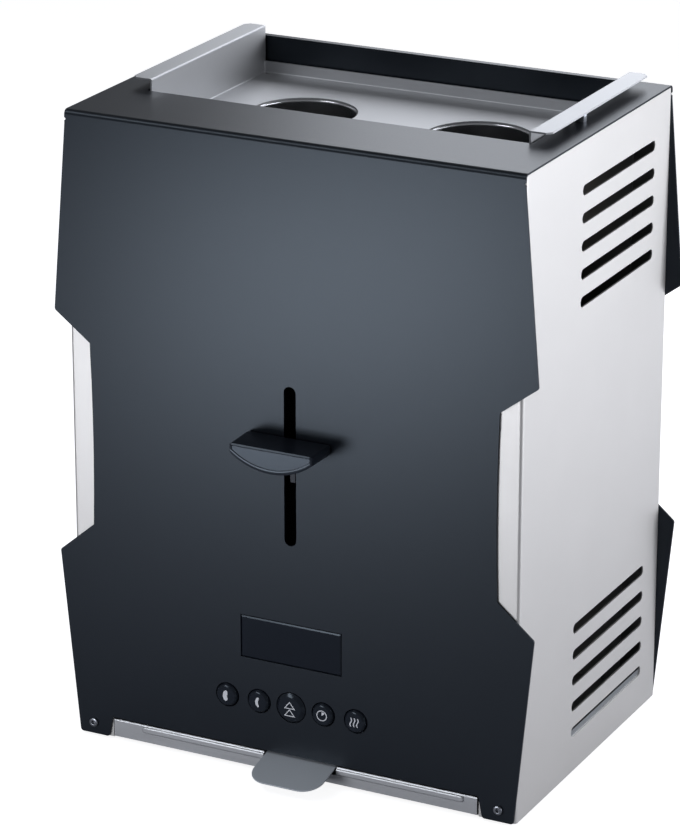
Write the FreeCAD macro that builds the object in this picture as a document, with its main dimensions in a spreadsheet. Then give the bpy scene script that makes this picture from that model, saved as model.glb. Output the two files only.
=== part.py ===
import FreeCAD, Part
import math
import os

import Sketcher

# Hot dog toaster, in millimetres. X runs to the right, Y to the back and Z up. The origin is on the
# surface the toaster stands on, halfway between its two sides and between the tip of its pull tab and
# the lip of its cord gland. A name that ends in _z is a height above that surface, one that ends in
# _drop is measured down from the top face, and one that ends in _x or _y is a place along X or Y.

doc = FreeCAD.newDocument("hot_dog_toaster")
sheet = doc.addObject("Spreadsheet::Sheet", "Sizes")
nodes = []


# ---------------------------------------------------------------- sizes and the sheet


class Size:
    """A number from the sheet, or one worked out from others, with the expression that gives it."""

    def __init__(self, value, text):
        self.value = float(value)
        self.text = text

    def __add__(self, other):
        other = as_size(other)
        return Size(self.value + other.value, f"({self.text} + {other.text})")

    def __sub__(self, other):
        other = as_size(other)
        return Size(self.value - other.value, f"({self.text} - {other.text})")

    def __mul__(self, other):
        other = as_size(other)
        return Size(self.value * other.value, f"({self.text} * {other.text})")

    def __truediv__(self, other):
        other = as_size(other)
        return Size(self.value / other.value, f"({self.text} / {other.text})")

    def __neg__(self):
        return Size(-self.value, f"(0 - {self.text})")

    def __rsub__(self, other):
        return as_size(other) - self

    def __radd__(self, other):
        return as_size(other) + self

    def __rmul__(self, other):
        return as_size(other) * self


def as_size(number):
    """Any plain number as a Size."""
    if isinstance(number, Size):
        return number
    if number < 0:
        return Size(number, f"(0 - {-float(number)})")
    return Size(number, repr(float(number)))


def size(alias, value, meaning):
    """Writes one driving dimension into the sheet and gives it back as a Size."""
    row = str(size.rows + 1)
    size.rows += 1
    sheet.set("A" + row, meaning)
    sheet.set("B" + row, str(value))
    sheet.setAlias("B" + row, alias)
    return Size(value, "Sizes." + alias)


size.rows = 0

# Body
body_width = size("body_width", 282, "outer width over the two side panels")
body_depth = size("body_depth", 202, "outer depth over the front and the back sheet")
body_height = size("body_height", 380, "height of the top face")
foot_height = size("foot_height", 1.5, "height of the rubber feet")
shell_sheet = size("shell_sheet", 1.2, "thickness of the bent outer shell")
panel_sheet = size("panel_sheet", 1.0, "thickness of the side panels")
shell_bend = size("shell_bend", 3.0, "outer bend radius of the shell")
panel_bend = size("panel_bend", 2.0, "outer bend radius of the side panels")
flange_width = size("flange_width", 23, "width of a side panel's front and back flange")
ledge_rest = size("ledge_rest", 4.5, "how far the drip tray rests on a side panel's bottom flange")
running_gap = size("running_gap", 0.4, "gap between flat pieces that slide or lift past each other")

# Outline of the front and of the back
wing_reach = size("wing_reach", 9.5, "how far a wing stands out past the side panel")
shoulder_drop = size("shoulder_drop", 8, "where the sides start to widen")
upper_wing_drop = size("upper_wing_drop", 118.5, "lower corner of the upper wing")
waist_top_drop = size("waist_top_drop", 135.5, "upper end of the waist")
waist_inset = size("waist_inset", 13.1, "how far the waist steps in from the side panel")
waist_bow = size("waist_bow", 1.0, "how far the waist's edge curves in")
waist_foot_z = size("waist_foot_z", 134, "lower end of the waist")
lower_wing_z = size("lower_wing_z", 114.8, "upper corner of the lower wing")
skid_inset = size("skid_inset", 1.2, "how far the bottom corner stands in from the side panel")
skid_lean = size("skid_lean", 2.5, "slant of the cut-out's side")
skid_height = size("skid_height", 13, "height of the cut-out for the drip tray")
corner_round = size("corner_round", 2.0, "corner radius of the outline")
relief_radius = size("relief_radius", 0.8, "relief notch beside the shell's bends")
relief_drop = size("relief_drop", 5.5, "place of that notch")
corner_screw_x = size("corner_screw_x", 10.4, "screw's distance in from the side panel")
corner_screw_z = size("corner_screw_z", 8.8, "height of the corner screws")

# Opening in the top, and the lift-out tray
strip_front = size("strip_front", 55.3, "top face in front of the opening")
strip_back = size("strip_back", 6.7, "top face behind the opening")
strip_side = size("strip_side", 21.5, "top face beside the opening")
opening_round = size("opening_round", 2.0, "corner radius of the opening")
well_sheet = size("well_sheet", 1.0, "thickness of the well under the opening")
well_drop = size("well_drop", 23, "depth of the well's floor")
well_lip = size("well_lip", 4.0, "width of the well's top flange")
tray_sheet = size("tray_sheet", 1.0, "thickness of the lift-out tray")
tray_gap = size("tray_gap", 1.5, "gap between the lift-out tray and the opening")
tray_bend = size("tray_bend", 0.8, "inner bend radius of the lift-out tray")
tray_relief = size("tray_relief", 1.5, "radius of the holes in the tray's floor corners")
tray_relief_inset = size("tray_relief_inset", 3, "their distance in from the tray's edges")
tray_upstand = size("tray_upstand", 7.0, "height of the tray's front and rear upstand")
grip_rise = size("grip_rise", 6.5, "grip flange's top above the top face")
grip_width = size("grip_width", 12.8, "width of a grip flange")
grip_corner = size("grip_corner", 3.0, "corner cut of a grip flange")
rest_radius = size("rest_radius", 3.5, "radius of the stud beside each grip")
rest_reach = size("rest_reach", 6.5, "stud's distance out from the tray wall")
rest_gap = size("rest_gap", 0.3, "gap between a stud and the grip over it")
rest_dome = size("rest_dome", 2.1, "rounding of a stud's top")
rest_ahead = size("rest_ahead", 16.3, "studs' distance ahead of the chambers' middle")

# Toasting chambers
chamber_spacing = size("chamber_spacing", 111, "distance between the two chambers")
hole_radius = size("hole_radius", 31, "radius of a sausage hole in the tray")
well_hole_gap = size("well_hole_gap", 2.0, "well's hole over the tray's hole, on radius")
cage_rim = size("cage_rim", 1.1, "section radius of the cage's rolled rim")
cage_wire = size("cage_wire", 1.0, "section radius of the cage's wires")
cage_ring = size("cage_ring", 1.15, "section radius of the cage's rings")
wire_overlap = size("wire_overlap", 4, "how far the wires run up the collar")
collar_wall = size("collar_wall", 0.8, "wall of the cage's collar")
collar_length = size("collar_length", 34, "length of the cage's collar")
cage_length = size("cage_length", 170, "length of a cage under the tray")
cage_mouth = size("cage_mouth", 45, "angle left open at the cage's front, in degrees")
chamber_wall = size("chamber_wall", 0.8, "wall of a chamber tube")
heater_radius = size("heater_radius", 2.5, "radius of a heating tube")
cage_gap = size("cage_gap", 2.4, "gap round the cage, from the tray's hole to the heater rings")
heater_ring_width = size("heater_ring_width", 6.6, "width of a heater ring")
heater_ring_height = size("heater_ring_height", 4, "thickness of a heater ring")
drip_hole_inset = size("drip_hole_inset", 2, "base plate's holes under the chambers, inside the tubes")
heater_top_gap = size("heater_top_gap", 6, "upper heater ring under the well's floor")
heater_length = size("heater_length", 182, "length of a heating tube")

# Lever, lift carriage and their guides
lever_drop = size("lever_drop", 179, "lever arm's middle at rest")
slot_width = size("slot_width", 7.5, "width of the lever's slot")
slot_end_gap = size("slot_end_gap", 1.2, "room left over and under the arm at both ends of its travel")
lift_down = size("lift_down", 52, "travel of the lever down from rest")
lift_up = size("lift_up", 32.5, "travel of the lever up from rest")
arm_thickness = size("arm_thickness", 3, "thickness of the lever arm")
arm_height = size("arm_height", 8, "height of the lever arm")
knob_width = size("knob_width", 52.4, "width of the knob at its back")
knob_taper = size("knob_taper", 0.5, "how much the knob narrows on each side to its front")
knob_depth = size("knob_depth", 22.8, "how far the knob stands out")
knob_gap = size("knob_gap", 1.0, "gap between the knob and the front")
knob_end = size("knob_end", 5.4, "height of the knob's ends")
knob_belly = size("knob_belly", 9.0, "how far the knob's underside bows down")
knob_above = size("knob_above", 8.3, "knob's top above the lever arm's middle")
knob_rim = size("knob_rim", 1.3, "rim round the knob's front panel")
knob_recess = size("knob_recess", 0.7, "depth of the knob's front panel")
knob_socket = size("knob_socket", 14, "depth of the arm's socket in the knob")
fit_gap = size("fit_gap", 0.05, "gap on each side of a press or running fit")
carriage_sheet = size("carriage_sheet", 1.5, "thickness of the lift carriage")
carriage_width = size("carriage_width", 124, "width of the lift carriage")
carriage_height = size("carriage_height", 65, "height of the lift carriage")
carriage_flange = size("carriage_flange", 15.5, "depth of the carriage's flanges")
carriage_gap = size("carriage_gap", 2.5, "gap between a bush and the carriage's plate")
tail_gap = size("tail_gap", 2, "gap between the front and the lever arm's tail")
tail_depth = size("tail_depth", 8, "depth of the lever arm's tail")
tail_drop = size("tail_drop", 16, "how far that tail hangs down")
carriage_below = size("carriage_below", 11, "carriage's foot under the lever arm's middle")
lift_arm_width = size("lift_arm_width", 6, "width of an arm that carries a platform")
arm_gap = size("arm_gap", 2, "gap on each side of a lift arm in its windows")
arm_end_gap = size("arm_end_gap", 4, "gap over and under it at both ends of its travel")
platform_gap = size("platform_gap", 4, "gap round a platform inside the sausage hole's radius")
platform_hole = size("platform_hole", 4.3, "radius of a platform's drip holes")
platform_hole_circle = size("platform_hole_circle", 16.7, "radius their centres lie on")
platform_sheet = size("platform_sheet", 2, "thickness of a lift platform")
rod_radius = size("rod_radius", 3, "radius of a guide rod")
rod_spacing = size("rod_spacing", 90, "distance between the guide rods")
rod_stand = size("rod_stand", 34.7, "guide rods' distance in front of the heat shield")
rod_headroom = size("rod_headroom", 34.5, "rods' top above the carriage at its highest place")
rod_end = size("rod_end", 2, "how far a rod stands out of its bracket")
bush_wall = size("bush_wall", 2, "wall of a guide bush")
bush_stand = size("bush_stand", 2, "how far a bush stands past the carriage")
armature_margin = size("armature_margin", 3, "how far the armature runs past the core on each side")
armature_sheet = size("armature_sheet", 3, "thickness of the armature plate")
magnet_width = size("magnet_width", 24, "width of the magnet's core")
magnet_depth = size("magnet_depth", 12, "depth of the magnet's core")
magnet_height = size("magnet_height", 26, "height of the magnet's core")
magnet_leg = size("magnet_leg", 3, "width of the core's outer legs")
magnet_slot = size("magnet_slot", 6, "width of the core's two slots")
magnet_yoke = size("magnet_yoke", 4, "height of the core's yoke")
coil_gap = size("coil_gap", 0.1, "gap round the coil")
coil_bulge = size("coil_bulge", 3, "how far the coil stands out of the core")
coil_drop = size("coil_drop", 4, "coil's top under the core's top")
magnet_gap = size("magnet_gap", 0.5, "gap over the magnet with the lever right down")
bracket_sheet = size("bracket_sheet", 2, "thickness of the two brackets in front of the heat shield")
bracket_width = size("bracket_width", 120, "width of those brackets")
bracket_margin = size("bracket_margin", 3, "how far those brackets run on past the bushes")
bracket_flange = size("bracket_flange", 14, "height of their fixing flanges")
spring_wire = size("spring_wire", 0.6, "wire radius of a return spring")
spring_gap = size("spring_gap", 0.8, "gap between a return spring and its rod")
spring_turns = size("spring_turns", 10, "turns of a return spring")
shield_sheet = size("shield_sheet", 0.8, "thickness of the heat shields")
shield_side = size("shield_side", 11, "heat shields' sides, in from the toaster's")
shield_gap = size("shield_gap", 6, "gap between a chamber tube and the heat shields")
shield_foot = size("shield_foot", 8, "foot flange of a heat shield")
base_z = size("base_z", 18, "underside of the base plate")
base_sheet = size("base_sheet", 1.0, "thickness of the base plate")
base_flange = size("base_flange", 8, "height of the base plate's side flanges")

# Controls
window_width = size("window_width", 64.6, "width of the display window")
window_height = size("window_height", 26.4, "height of the display window")
window_z = size("window_z", 83.3, "middle of the display window")
lens_overlap = size("lens_overlap", 2, "how far the lens runs on behind the shell")
lens_margin = size("lens_margin", 1, "housing's opening inside the window's edges")
lens_sheet = size("lens_sheet", 1.5, "thickness of the lens")
key_z = size("key_z", 44.5, "height of the row of buttons")
key_pitch = size("key_pitch", 20.6, "distance between the buttons")
key_radius = size("key_radius", 7, "radius of a small button")
big_key_radius = size("big_key_radius", 9, "radius of the middle button")
key_gap = size("key_gap", 0.5, "gap round a button")
key_stand = size("key_stand", 2, "how far a button stands out")
key_round = size("key_round", 1.1, "rounding of a button's front edge")
key_flange = size("key_flange", 1.3, "button's collar past its cap")
key_collar = size("key_collar", 1.5, "thickness of a button's collar")
key_stem = size("key_stem", 2, "radius of a button's stem")
key_travel = size("key_travel", 1.0, "travel of a button")
housing_width = size("housing_width", 124, "width of the control housing")
housing_foot_z = size("housing_foot_z", 27, "underside of the control housing")
housing_height = size("housing_height", 79, "height of the control housing")
housing_depth = size("housing_depth", 16, "depth of the control housing")
housing_wall = size("housing_wall", 2, "wall of the control housing")
board_sheet = size("board_sheet", 1.6, "thickness of a circuit board")
boss_inset = size("boss_inset", 4.5, "board screw's distance in from the housing's wall")
boss_radius = size("boss_radius", 3, "radius of a screw boss")
board_screw = size("board_screw", 1.2, "radius of a board screw's shank")
module_inset = size("module_inset", 1, "display module's edge inside the lens's")
module_depth = size("module_depth", 5, "depth of the display module")
switch_side = size("switch_side", 6, "side of a key switch")
switch_depth = size("switch_depth", 3.6, "depth of a key switch")

# Power supply
supply_width = size("supply_width", 110, "width of the power board")
supply_height = size("supply_height", 70, "height of the power board")
supply_foot_z = size("supply_foot_z", 48, "lower edge of the power board")
supply_x = size("supply_x", -20, "middle of the power board")
spacer_length = size("spacer_length", 6, "length of the power board's spacers")
spacer_radius = size("spacer_radius", 3, "radius of the power board's spacers")
spacer_inset = size("spacer_inset", 5, "spacer's distance in from the power board's edges")
supply_margin = size("supply_margin", 10, "power board left free beside its parts")
transformer_width = size("transformer_width", 28, "width of the transformer")
transformer_height = size("transformer_height", 30, "height of the transformer")
transformer_depth = size("transformer_depth", 9.5, "depth of the transformer")
relay_width = size("relay_width", 28, "width of the relay")
relay_height = size("relay_height", 13, "height of the relay")
relay_depth = size("relay_depth", 9.5, "depth of the relay")
terminal_width = size("terminal_width", 24, "width of the terminal block")
terminal_height = size("terminal_height", 12, "height of the terminal block")
terminal_depth = size("terminal_depth", 9, "depth of the terminal block")
supply_parts_z = size("supply_parts_z", 28, "transformer and relay above the power board's lower edge")
cutout_x = size("cutout_x", 40, "place of the thermal cutout")
cutout_drop = size("cutout_drop", 170, "thermal cutout under the top face")
cutout_radius = size("cutout_radius", 8, "radius of the thermal cutout")
cutout_depth = size("cutout_depth", 6, "depth of the thermal cutout")
gland_side = size("gland_side", 45, "cord gland's distance in from the toaster's side")
gland_z = size("gland_z", 34, "height of the cord gland")
gland_radius = size("gland_radius", 7, "radius of the gland's hole in the shell")
gland_lip = size("gland_lip", 2.5, "width and thickness of the gland's lip")
gland_neck = size("gland_neck", 5, "how far the gland runs into the toaster")
gland_bore = size("gland_bore", 4, "radius of the gland's bore")

# Drip tray
drip_sheet = size("drip_sheet", 0.8, "thickness of the drip tray")
drip_gap = size("drip_gap", 0.8, "gap between the drip tray and the flanges beside it")
drip_length = size("drip_length", 190, "length of the drip tray")
drip_wall = size("drip_wall", 10, "height of the drip tray's walls")
lip_height = size("lip_height", 10.9, "height of the drip tray's front lip")
lip_depth = size("lip_depth", 15, "depth of the drip tray's front lip")
lip_bend = size("lip_bend", 1.0, "outer bend radius of the lip")
bead_rise = size("bead_rise", 7.9, "middle of the bead pressed in the lip, above the tray's underside")
bead_width = size("bead_width", 4.0, "width of that bead")
bead_stand = size("bead_stand", 1.0, "how far the bead stands out")
bead_inset = size("bead_inset", 13.5, "bead's ends, in from the tray's sides, about the pull tab's middle")
bead_edge = size("bead_edge", 0.9, "rounding of the bead's edge")
tab_width = size("tab_width", 45, "width of the pull tab")
tab_reach = size("tab_reach", 25.5, "how far the pull tab stands out of the front")
tab_shift = size("tab_shift", 5.5, "pull tab's distance right of the middle")
tab_overlap = size("tab_overlap", 13, "how far the pull tab's root lies behind the lip's front")
tab_round = size("tab_round", 12, "corner radius of the pull tab")
tab_sheet = size("tab_sheet", 0.8, "thickness of the pull tab")
tab_drop = size("tab_drop", 7.2, "how far the pull tab's tip hangs under its root")
notch_height = size("notch_height", 5.4, "height of the lip's notch under the pull tab")
notch_depth = size("notch_depth", 8, "how deep that notch runs into the lip's top")
notch_gap = size("notch_gap", 1, "gap on each side of the pull tab in the notch")

# Vents, feet and screws
vent_length = size("vent_length", 102, "length of a vent slot")
vent_height = size("vent_height", 6.2, "height of a vent slot")
vent_pitch = size("vent_pitch", 16.1, "distance between vent slots")
vent_inset = size("vent_inset", 24, "rear end of the side vents, in from the back")
vent_top_drop = size("vent_top_drop", 29.5, "uppermost side vent")
vent_foot_z = size("vent_foot_z", 26.5, "lowest side vent")
foot_radius = size("foot_radius", 8, "radius of a rubber foot")
foot_inset = size("foot_inset", 21, "foot's distance in from the front or the back")
screw_radius = size("screw_radius", 1.5, "radius of a screw's shank")
screw_head = size("screw_head", 2.85, "radius of a screw's head")
screw_head_height = size("screw_head_height", 1.65, "height of a screw's head")
screw_dome = size("screw_dome", 1.3, "rounding of a screw's head")
socket_depth = size("socket_depth", 1.0, "depth of a screw's hexagon socket")
screw_socket = size("screw_socket", 1.0, "inner radius of a screw's hexagon socket")
screw_length = size("screw_length", 6, "length of a screw under its head")
screw_gap = size("screw_gap", 0.1, "gap between a screw and its hole, on radius")

VENTS = 5
HEATERS = 4
CAGE_WIRES = 8
PLATFORM_HOLES = 6
# How far a cutting tool runs past what it cuts
PAST = 1
# The smallest difference that counts, for comparing places and volumes
EPS = 0.001

# Places worked out from the sizes above
front_y = (tab_reach - gland_lip - body_depth) / 2
back_y = front_y + body_depth
front_inner_y = front_y + shell_sheet
back_inner_y = back_y - shell_sheet
side_x = body_width / 2
under_top_z = body_height - shell_sheet
shell_bend_inside = shell_bend - shell_sheet
panel_bend_inside = panel_bend - panel_sheet
flange_tip_x = side_x - flange_width
ledge_tip_x = flange_tip_x - drip_gap - ledge_rest
opening_x = side_x - strip_side
opening_front_y = front_y + strip_front
opening_back_y = back_y - strip_back
chamber_x = chamber_spacing / 2
chamber_y = (opening_front_y + opening_back_y) / 2
rest_y = chamber_y - rest_ahead
vent_y = back_y - vent_inset - vent_length / 2
tray_x = opening_x - tray_gap
well_z = body_height - well_drop
well_under_z = well_z - well_sheet
tray_z = well_z + tray_sheet
grip_z = body_height + grip_rise
base_top_z = base_z + base_sheet
heater_ring_inner = hole_radius + cage_gap
chamber_radius = heater_ring_inner + heater_ring_width
front_shield_y = chamber_y - chamber_radius - chamber_wall - shield_gap - shield_sheet
rear_shield_y = chamber_y + chamber_radius + chamber_wall + shield_gap
rod_x = rod_spacing / 2
rod_y = front_shield_y - rod_stand
bush_radius = rod_radius + bush_wall
spring_radius = rod_radius + spring_gap + spring_wire
carriage_y = rod_y + bush_radius + carriage_gap
lever_z = body_height - lever_drop
arm_top_z = lever_z + arm_height / 2
arm_foot_z = lever_z - arm_height / 2
slot_top_z = arm_top_z + lift_up + slot_end_gap
slot_foot_z = arm_foot_z - lift_down - slot_end_gap
carriage_foot_z = lever_z - carriage_below
carriage_top_z = carriage_foot_z + carriage_height
lift_arm_z = carriage_top_z - arm_height
bush_foot_z = carriage_foot_z - bush_stand
rod_top_z = carriage_top_z + lift_up + rod_headroom
shelf_z = carriage_foot_z - armature_sheet - lift_down - magnet_gap - magnet_height
housing_front_y = front_inner_y
housing_back_y = housing_front_y + housing_depth
heater_top_z = well_under_z - heater_top_gap
heater_circle = (heater_ring_inner + chamber_radius) / 2
supply_back_y = back_inner_y - spacer_length
gland_x = side_x - gland_side


# ---------------------------------------------------------------- drawing helpers

# Which way the plane's normal points along its own world axis
NORMAL = {"XY_Plane": 1, "XZ_Plane": -1, "YZ_Plane": 1}


def bind(thing, prop, amount):
    """Ties a property to the sheet."""
    thing.setExpression(prop, as_size(amount).text)


def vector(x, y):
    """A sketch point from two sizes."""
    return FreeCAD.Vector(as_size(x).value, as_size(y).value, 0)


def new_body(name):
    """An empty body that becomes the node of that name."""
    body = doc.addObject("PartDesign::Body", name)
    keep(body, name)
    return body


def keep(thing, name):
    """Gives a finished piece the node's name and lists it for writing."""
    thing.Label = name
    nodes.append(thing)
    return thing


def new_sketch(body, role, height, name):
    """A sketch on one of the body's own origin planes, moved along that plane's normal."""
    sketch = body.newObject("Sketcher::SketchObject", name)
    plane = [feature for feature in body.Origin.OriginFeatures if feature.Role == role][0]
    sketch.AttachmentSupport = [(plane, "")]
    sketch.MapMode = "FlatFace"
    bind(sketch, "AttachmentOffset.Base.z", height)
    return sketch


def datum(sketch, constraint, amount):
    """Adds a constraint and ties it to the sheet."""
    index = sketch.addConstraint(constraint)
    sketch.setExpression(f"Constraints[{index}]", as_size(amount).text)


def pin(sketch, edge, point, x, y):
    """Holds a point of an edge at its place from the sketch's origin."""
    for kind, amount in (("DistanceX", x), ("DistanceY", y)):
        value = as_size(amount).value
        datum(sketch, Sketcher.Constraint(kind, -1, 1, edge, point, value), amount)


def outline(sketch, corners, bows=None):
    """A closed outline through the corners. bows gives a run's height to its left, as an arc."""
    bows = bows or {}
    count = len(corners)
    points = [vector(x, y) for x, y in corners]
    runs = []
    for index, start in enumerate(points):
        end = points[(index + 1) % count]
        if index in bows:
            bow = as_size(bows[index])
            left = FreeCAD.Vector(start.y - end.y, end.x - start.x, 0).normalize()
            middle = (start + end) / 2 + left * bow.value
            edge = sketch.addGeometry(Part.Arc(start, middle, end), False)
            first = 1 if sketch.Geometry[edge].StartPoint.isEqual(start, EPS) else 2
            runs.append((edge, first, 3 - first))
        else:
            edge = sketch.addGeometry(Part.LineSegment(start, end), False)
            runs.append((edge, 1, 2))
    for index, (edge, first, last) in enumerate(runs):
        after, after_first, _ = runs[(index + 1) % count]
        sketch.addConstraint(Sketcher.Constraint("Coincident", edge, last, after, after_first))
    for (edge, first, last), (x, y) in zip(runs, corners):
        pin(sketch, edge, first, x, y)
    for index, bow in bows.items():
        (x1, y1), (x2, y2) = corners[index], corners[(index + 1) % count]
        half = Size(
            math.hypot(as_size(x2 - x1).value, as_size(y2 - y1).value) / 2,
            f"(sqrt({as_size(x2 - x1).text}^2 + {as_size(y2 - y1).text}^2) / 2)",
        )
        bow = as_size(bow)
        bow = bow if bow.value > 0 else -bow
        radius = (half * half + bow * bow) / (bow * 2)
        edge = runs[index][0]
        datum(sketch, Sketcher.Constraint("Radius", edge, radius.value), radius)


def rectangle(sketch, x1, y1, x2, y2):
    """A rectangle between two corners."""
    outline(sketch, [(x1, y1), (x2, y1), (x2, y2), (x1, y2)])


def circle(sketch, x, y, radius):
    """A circle."""
    centre = vector(x, y)
    round_edge = Part.Circle(centre, FreeCAD.Vector(0, 0, 1), as_size(radius).value)
    edge = sketch.addGeometry(round_edge, False)
    pin(sketch, edge, 3, x, y)
    datum(sketch, Sketcher.Constraint("Radius", edge, as_size(radius).value), radius)


def half_circle(sketch, x, y, radius, start):
    """Half a circle about a pinned centre, from a start angle; gives the edge."""
    round_edge = Part.Circle(vector(x, y), FreeCAD.Vector(0, 0, 1), as_size(radius).value)
    arc = Part.ArcOfCircle(round_edge, start, start + math.pi)
    edge = sketch.addGeometry(arc, False)
    pin(sketch, edge, 3, x, y)
    datum(sketch, Sketcher.Constraint("Radius", edge, as_size(radius).value), radius)
    return edge


def slot(sketch, x, y, length, width, upright=False):
    """A slot with round ends about its middle."""
    reach = (as_size(length) - width) / 2
    radius = as_size(width) / 2
    if upright:
        ends = [(x, y + reach, 0.0), (x, y - reach, math.pi)]
        aligned = "Horizontal"
    else:
        ends = [(x - reach, y, math.pi / 2), (x + reach, y, -math.pi / 2)]
        aligned = "Vertical"
    arcs = [half_circle(sketch, px, py, radius, start) for px, py, start in ends]
    for edge in arcs:
        for point in (1, 2):
            sketch.addConstraint(Sketcher.Constraint(aligned, edge, point, edge, 3))
    for this, other in (arcs, arcs[::-1]):
        start = sketch.Geometry[this].EndPoint
        end = sketch.Geometry[other].StartPoint
        line = sketch.addGeometry(Part.LineSegment(start, end), False)
        sketch.addConstraint(Sketcher.Constraint("Coincident", this, 2, line, 1))
        sketch.addConstraint(Sketcher.Constraint("Coincident", line, 2, other, 1))


def add(body, role, low, high, draw, name):
    """Pads what draw puts in a sketch, from low to high along the plane's world axis."""
    height = low if NORMAL[role] > 0 else -as_size(high)
    sketch = new_sketch(body, role, height, name + "Sketch")
    draw(sketch)
    pad = body.newObject("PartDesign::Pad", name)
    pad.Profile = sketch
    bind(pad, "Length", as_size(high) - low)
    doc.recompute()


def remove(body, role, low, high, draw, name):
    """Pockets what draw puts in a sketch, from low to high along the plane's world axis."""
    height = high if NORMAL[role] > 0 else -as_size(low)
    before = body.Shape.Volume
    sketch = new_sketch(body, role, height, name + "Sketch")
    draw(sketch)
    pocket = body.newObject("PartDesign::Pocket", name)
    pocket.Profile = sketch
    bind(pocket, "Length", as_size(high) - low)
    doc.recompute()
    if body.Shape.Volume > before - EPS:
        raise ValueError(f"{body.Label}: {name} cuts nothing")


def runs_along(edge, axis):
    """True for a straight edge parallel to axis 0, 1 or 2."""
    if len(edge.Vertexes) < 2 or edge.Curve.TypeId != "Part::GeomLine":
        return False
    direction = edge.tangentAt(edge.FirstParameter)
    return abs(direction[axis]) > 1 - EPS


def round_edges(body, axis, places, radius, name):
    """Rounds the body's edges that run along axis through the places, given across that axis."""
    across = [index for index in range(3) if index != axis]
    wanted = [[as_size(value).value for value in place] for place in places]
    tip = body.Tip
    found = []
    for index, edge in enumerate(tip.Shape.Edges):
        if not runs_along(edge, axis):
            continue
        point = edge.Vertexes[0].Point
        for place in wanted:
            if all(abs(point[across[side]] - place[side]) < EPS for side in (0, 1)):
                found.append(f"Edge{index + 1}")
                break
    if len(found) < len(wanted):
        raise ValueError(f"{body.Label}: {name} finds {len(found)} of {len(wanted)} edges")
    fillet = body.newObject("PartDesign::Fillet", name)
    fillet.Base = (tip, found)
    bind(fillet, "Radius", radius)
    doc.recompute()


def place(thing, x, y, z):
    """Puts a primitive at its place."""
    bind(thing, "Placement.Base.x", x)
    bind(thing, "Placement.Base.y", y)
    bind(thing, "Placement.Base.z", z)


TURNS = {
    "X": FreeCAD.Rotation(FreeCAD.Vector(0, 1, 0), 90),
    "Y": FreeCAD.Rotation(FreeCAD.Vector(1, 0, 0), -90),
    "Z": FreeCAD.Rotation(),
}


def box(name, x, y, z):
    """A box between the low and the high value on each axis."""
    thing = doc.addObject("Part::Box", name)
    bind(thing, "Length", as_size(x[1]) - x[0])
    bind(thing, "Width", as_size(y[1]) - y[0])
    bind(thing, "Height", as_size(z[1]) - z[0])
    place(thing, x[0], y[0], z[0])
    return thing


def cylinder(name, axis, start, radius, length):
    """A cylinder from its start point along X, Y or Z."""
    thing = doc.addObject("Part::Cylinder", name)
    thing.Placement.Rotation = TURNS[axis]
    bind(thing, "Radius", radius)
    bind(thing, "Height", length)
    place(thing, *start)
    return thing


def fuse(name, pieces):
    """Several overlapping or touching solids as one."""
    thing = doc.addObject("Part::MultiFuse", name)
    thing.Shapes = pieces
    thing.Refine = True
    return thing


def cut(name, base, tools):
    """A solid with others cut out of it."""
    tool = tools[0]
    if len(tools) > 1:
        tool = fuse(name + "_tools", tools)
    thing = doc.addObject("Part::Cut", name)
    thing.Base = base
    thing.Tool = tool
    thing.Refine = True
    doc.recompute()
    if thing.Shape.Volume > base.Shape.Volume - EPS:
        raise ValueError(f"{name}: nothing is cut")
    return thing


def group(name, pieces):
    """Separate solids that share one node."""
    thing = doc.addObject("Part::Compound", name)
    thing.Links = pieces
    return thing


def both_sides(x, y):
    """The place and its mirror image in X."""
    return [(x, y), (-as_size(x), y)]


# ---------------------------------------------------------------- outer casing


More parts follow.
